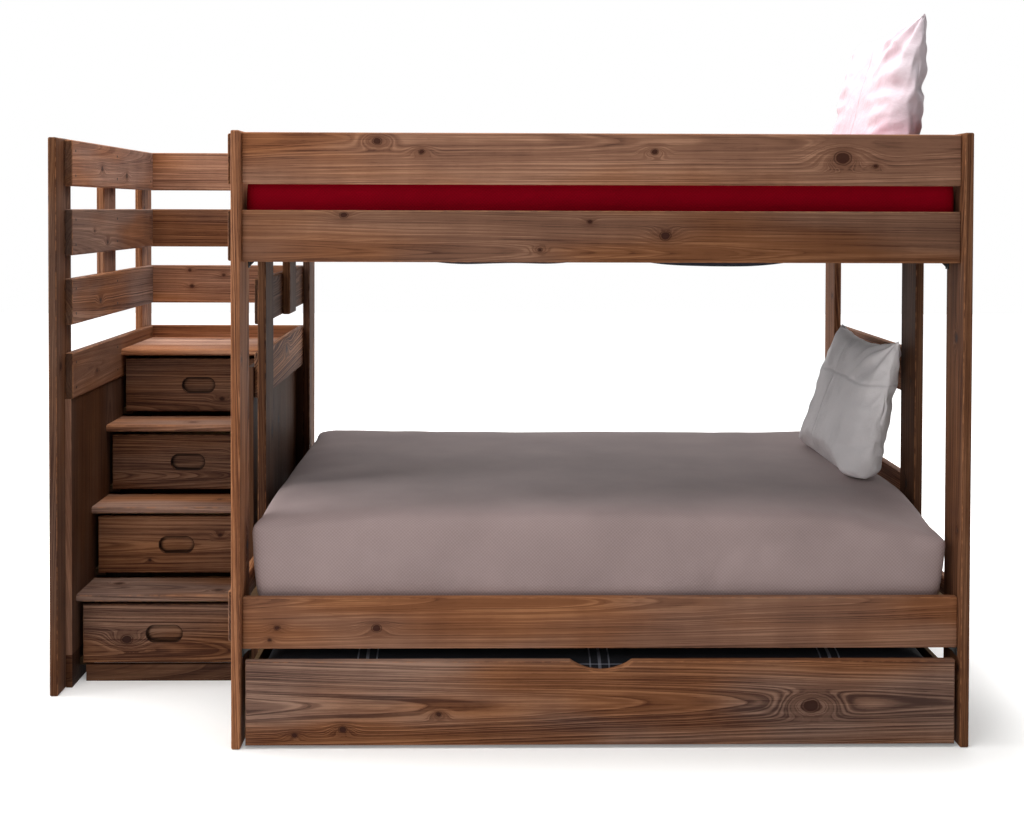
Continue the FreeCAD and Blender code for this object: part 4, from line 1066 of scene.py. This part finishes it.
def add_floor(stage):
    """A wide pale floor that stays white to the camera but keeps the shadow."""
    reach = 14.0
    builder = bmesh.new()
    bmesh.ops.create_grid(builder, x_segments=8, y_segments=8, size=reach)
    floor = new_piece("floor", builder)
    material, graph, shader, coordinates = new_material("pale_floor")
    cloud = graph.noise(coordinates["Object"], scale=0.8)[0]
    dim = tuple(part * 0.97 for part in stage.floor_colour)
    graph.feed(shader.inputs["Base Color"], graph.mix(cloud, dim, stage.floor_colour))
    shader.inputs["Roughness"].default_value = 0.9
    shader.inputs["Specular IOR Level"].default_value = 0
    shader.inputs["Emission Color"].default_value = (1, 1, 1, 1)
    parts = graph.split(graph.vector("ABSOLUTE", coordinates["Object"]))
    beyond_x = graph.math("MAXIMUM", graph.math("SUBTRACT", parts[0], CAD_BOX[1][0]), 0)
    beyond_y = graph.math("MAXIMUM", graph.math("SUBTRACT", parts[1], CAD_BOX[1][1]), 0)
    away = graph.step(graph.length(graph.join(beyond_x, beyond_y, 0.0)), 0.02, stage.floor_clear)
    lift = graph.math("MULTIPLY_ADD", away, 1 - stage.floor_lift, stage.floor_lift)
    graph.feed(shader.inputs["Emission Strength"], graph.math("MULTIPLY", light_path_share(graph), lift))
    dress(floor, material)


def add_surround(stage):
    """White to the camera; as a light, bright only behind the bed."""
    world = bpy.data.worlds.new("studio")
    world.use_nodes = True
    graph = Graph(world.node_tree)
    background = world.node_tree.nodes["Background"]
    background.inputs["Color"].default_value = (1, 1, 1, 1)
    direction = graph.split(graph.add("ShaderNodeTexCoord").outputs["Generated"])
    rearward = graph.math("MAXIMUM", direction[1], 0)
    light = graph.math("MULTIPLY_ADD", rearward, stage.sky_level, stage.sky_base)
    graph.feed(background.inputs["Strength"], graph.math("MAXIMUM", light, light_path_share(graph)))
    bpy.context.scene.world = world


def lamp(name, place, size, power):
    """A soft rectangular light aimed at the middle of the bed."""
    data = bpy.data.lights.new(name, "AREA")
    data.shape = "RECTANGLE"
    data.size, data.size_y = size
    data.energy = power
    light = bpy.data.objects.new(name, data)
    light.location = place
    aim = Vector((0, 0, 0.8)) - Vector(place)
    light.rotation_euler = aim.to_track_quat("-Z", "Y").to_euler()
    bpy.context.scene.collection.objects.link(light)


def add_camera(stage):
    data = bpy.data.cameras.new("camera")
    data.lens = stage.lens
    data.sensor_width = 36
    data.sensor_fit = "HORIZONTAL"
    data.shift_y = stage.shift
    camera = bpy.data.objects.new("camera", data)
    turn = Matrix.Rotation(-stage.turn, 4, "Z")
    tip = Matrix.Rotation(math.pi / 2 - stage.tip, 4, "X")
    roll = Matrix.Rotation(stage.roll, 4, "Z")
    camera.matrix_world = Matrix.Translation(stage.camera_place) @ turn @ tip @ roll
    bpy.context.scene.collection.objects.link(camera)
    bpy.context.scene.camera = camera


class BUNK_OT_planks(bpy.types.Operator):
    """Stains the planks of the bunks, the stair, the drawers and the trundle's front."""
    bl_idname = "bunk.planks"
    bl_label = "Stained planks"

    def execute(self, context):
        for name in nodes_of("stained_pine"):
            dress(frame["nodes"][name], plank_material(name, KNOTS.get(name, chance_knots(name))))
        return {"FINISHED"}


def chance_knots(name):
    """A few knots for a plank whose face the photograph doesn't show."""
    low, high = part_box(name)
    size = sorted(high - low, reverse=True)
    dice = random.Random(name + "_knots")
    count = min(4, int(size[0] * 2.2 + dice.random()))
    places = []
    for index in range(count):
        along = (index + dice.uniform(0.2, 0.8)) / count - 0.5
        places.append((along * size[0], dice.uniform(-0.38, 0.38) * size[1], dice.uniform(0.006, 0.012)))
    return places


class BUNK_OT_inner_boards(bpy.types.Operator):
    """Finishes the plain pine of the slats, cleats, drawer boxes, runners and trundle frame."""
    bl_idname = "bunk.inner_boards"
    bl_label = "Plain boards"

    def execute(self, context):
        for name in nodes_of("plain_pine"):
            dress(frame["nodes"][name], plank_material(name, [], stained=False))
        return {"FINISHED"}


class BUNK_OT_filler(bpy.types.Operator):
    """Adds the strip that closes the gap between the stair's inner panel and the back post."""
    bl_idname = "bunk.filler"
    bl_label = "Filler strip"

    def execute(self, context):
        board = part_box("left_end_board_fourth")
        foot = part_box("left_end_board_low")[1].z
        low = Vector((board[0].x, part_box("post_back_left")[0].y, foot))
        high = Vector((board[1].x, board[1].y, board[0].z))
        strip = new_piece("filler_strip", block_builder(low, high, 0.1))
        dress(strip, bpy.data.materials["pine_stair_panel_right"])
        for face in strip.data.polygons:
            face.use_smooth = False
        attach(strip, "frame")
        return {"FINISHED"}


class BUNK_OT_hardware(bpy.types.Operator):
    """Finishes the brackets and wheels and sets the screws in the plank joints."""
    bl_idname = "bunk.hardware"
    bl_label = "Hardware"

    def execute(self, context):
        hardware = settings().hardware
        paint = hard_material("bracket_paint", hardware.paint, 0.5, 0.0, 0.1)
        plastic = hard_material("wheel_moulding", hardware.plastic, 0.45, 0.0, 0.08)
        for name in nodes_of("black_steel"):
            dress(frame["nodes"][name], paint)
        for name in nodes_of("wheel_plastic"):
            dress(frame["nodes"][name], plastic)
        steel = hard_material("screw_steel", hardware.steel, 0.42, 0.8, 0.2)
        heads = new_piece("joint_screws", screw_builder(joint_screws(hardware), hardware.screw_radius))
        dress(heads, steel)
        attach(heads, "frame")
        return {"FINISHED"}


def joint_screws(hardware):
    """Places of all the screws that show."""
    inset = hardware.screw_inset
    places = []
    guards = [f"stair_guard_board_{k}" for k in range(1, 5)]
    uprights = ["stair_post_front", "stair_guard_batten", "stair_post_back"]
    for board in guards:
        places += board_screws(board, uprights, 0, 1, inset)
    post_low, post_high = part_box("stair_post_front")
    for board in guards:
        low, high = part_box(board)
        for side in (-1, 1):
            level = (low.z + high.z) / 2 + side * inset
            place = Vector((post_high.x, post_low.y + hardware.screw_edge, level))
            places.append((place, Vector((1, 0, 0))))
    for end, outward in (("left", -1), ("right", 1)):
        uprights = [f"post_{row}_{end}" for row in ("front", "mid", "back")]
        for board in [name for name in SUBPARTS if name.startswith(end + "_end_board")]:
            places += board_screws(board, uprights, 0, outward, inset)
    return places


class BUNK_OT_lower_mattress(bpy.types.Operator):
    """Makes the lower mattress in its taupe cover."""
    bl_idname = "bunk.lower_mattress"
    bl_label = "Lower mattress"

    def execute(self, context):
        bedding = settings().bedding
        make_mattress("lower_mattress_cover", "lower_mattress", "frame",
                      cover_material("taupe_knit", bedding.taupe),
                      Padding(top=0.03, foot=0.02, corner_top=0.006, corner_foot=0.045, crown=0.012,
                              draw_in=0.012, swell=0.002, wave=0.008, droops=(0.020, 0.065)),
                      bedding.mattress_step)
        return {"FINISHED"}


class BUNK_OT_upper_mattress(bpy.types.Operator):
    """Makes the upper mattress in its crimson cover."""
    bl_idname = "bunk.upper_mattress"
    bl_label = "Upper mattress"

    def execute(self, context):
        bedding = settings().bedding
        make_mattress("upper_mattress_cover", "upper_mattress", "frame",
                      cover_material("crimson_knit", bedding.crimson, 0.0, 0.05),
                      Padding(top=0.018, foot=0.012, corner_top=0.004, corner_foot=0.004, crown=0.008,
                              draw_in=0.0, swell=0.002, wave=0.004),
                      bedding.mattress_step * 1.2, slack=0.011)
        return {"FINISHED"}


class BUNK_OT_foundation(bpy.types.Operator):
    """Makes the upper foundation and the dust cover that sags below it."""
    bl_idname = "bunk.foundation"
    bl_label = "Upper foundation"

    def execute(self, context):
        navy = cover_material("navy_cloth", settings().bedding.navy, 0.0, 0.02)
        low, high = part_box("upper_foundation")
        form = Padding(top=0.012, foot=0.012, corner_top=0.015, corner_foot=0.015, crown=0.0, draw_in=0.0,
                       swell=0.001, wave=0.0)
        piece = new_piece("upper_foundation_cover", mattress_builder(low, high, 0.03, form))
        subdivided(piece)
        dress(piece, navy)
        soft_piece(piece, "upper_foundation", "frame")
        dust_cover = new_piece("dust_cover", dust_cover_builder(low, high))
        subdivided(dust_cover)
        dress(dust_cover, navy)
        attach(dust_cover, "frame")
        return {"FINISHED"}


# Slack lobes of the dust cover along the bed: middle, half width and drop
DUST_LOBES = [(0.03, 0.28, 0.035), (0.65, 0.27, 0.041), (-0.45, 0.24, 0.012)]


def dust_cover_builder(low, high):
    """One sheet stapled round the foundation's edge and to its slats, slack between them."""
    builder = bmesh.new()
    inset, step = 0.01, 0.02
    size = high - low
    rows, columns = round((size.y - 2 * inset) / step), round((size.x - 2 * inset) / step)
    points = []
    for j in range(rows + 1):
        y_share = 2 * j / rows - 1
        row = []
        for i in range(columns + 1):
            x = low.x + inset + (size.x - 2 * inset) * i / columns
            y = low.y + inset + (size.y - 2 * inset) * j / rows
            edge = (1 - abs(2 * i / columns - 1) ** 8) * (1 - y_share ** 8)
            drop = 0.002
            for middle, half, depth in DUST_LOBES:
                drop += depth * math.exp(-((x - middle) / half) ** 4)
            drop += 0.004 * noise.noise(Vector((x * 6, y * 4, 0.3)))
            row.append(builder.verts.new((x, y, low.z - 0.001 - max(0.0, drop) * edge)))
        points.append(row)
    for j in range(rows):
        for i in range(columns):
            builder.faces.new((points[j][i], points[j + 1][i], points[j + 1][i + 1], points[j][i + 1]))
    return builder


class BUNK_OT_trundle_mattress(bpy.types.Operator):
    """Makes the trundle's mattress in its checked cover."""
    bl_idname = "bunk.trundle_mattress"
    bl_label = "Trundle mattress"

    def execute(self, context):
        bedding = settings().bedding
        make_mattress("trundle_mattress_cover", "trundle_mattress", "trundle",
                      check_material("checked_cloth"),
                      Padding(top=0.06, foot=0.03, corner_top=0.03, corner_foot=0.03, crown=0.012,
                              draw_in=0.004, swell=0.004, wave=0.006),
                      bedding.mattress_step * 1.3)
        return {"FINISHED"}


class BUNK_OT_pillows(bpy.types.Operator):
    """Makes the two pillows that lean on the head end."""
    bl_idname = "bunk.pillows"
    bl_label = "Pillows"

    def execute(self, context):
        bedding = settings().bedding
        make_pillow("lower_pillow_case", "lower_pillow",
                    case_material("grey_case", bedding.grey_case, bedding.grey_shadow,
                                  creases=[(1, 0.10), (2, 0.925)], tinged=0.7),
                    Filling(wide=0.66, tall=0.46, thick=0.16, back_share=0.42, dip=0.07, back_ear=0.0,
                            foot=0.012, pleat=0.014, gather=0.014), math.radians(15))
        # Its shade is painted shade, pink as painted light thrown back from the red mattress, growing below
        # the height tinged
        make_pillow("upper_pillow_case", "upper_pillow",
                    case_material("blush_case", bedding.blush_case, bedding.blush_shadow,
                                  creases=[(1, -0.18)], tinged=1.9),
                    Filling(wide=0.69, tall=0.50, thick=0.17, back_share=0.32, dip=0.05, back_ear=0.08,
                            foot=0.02, pleat=0.012, gather=0.034), math.radians(8))
        return {"FINISHED"}


class BUNK_PT_panel(bpy.types.Panel):
    """Lists the steps that finish the bed."""
    bl_idname = "BUNK_PT_panel"
    bl_label = "Bunk Bed"
    bl_space_type = "VIEW_3D"
    bl_region_type = "UI"
    bl_category = "Bunk Bed"

    def draw(self, context):
        for operator in OPERATORS:
            self.layout.operator(operator.bl_idname)


OPERATORS = (BUNK_OT_stage, BUNK_OT_planks, BUNK_OT_inner_boards, BUNK_OT_filler, BUNK_OT_hardware,
             BUNK_OT_lower_mattress, BUNK_OT_upper_mattress, BUNK_OT_foundation, BUNK_OT_trundle_mattress,
             BUNK_OT_pillows)
CLASSES = (StageSettings, PineSettings, BeddingSettings, HardwareSettings, BunkSettings, *OPERATORS,
           BUNK_PT_panel)


def register():
    for item in CLASSES:
        bpy.utils.register_class(item)
    bpy.types.Scene.bunk_settings = PointerProperty(type=BunkSettings)


def unregister():
    del bpy.types.Scene.bunk_settings
    for item in reversed(CLASSES):
        bpy.utils.unregister_class(item)


def main():
    register()
    bpy.ops.bunk.stage()
    bpy.ops.bunk.planks()
    bpy.ops.bunk.inner_boards()
    bpy.ops.bunk.filler()
    bpy.ops.bunk.hardware()
    bpy.ops.bunk.lower_mattress()
    bpy.ops.bunk.upper_mattress()
    bpy.ops.bunk.foundation()
    bpy.ops.bunk.trundle_mattress()
    bpy.ops.bunk.pillows()


if __name__ == "__main__":
    main()
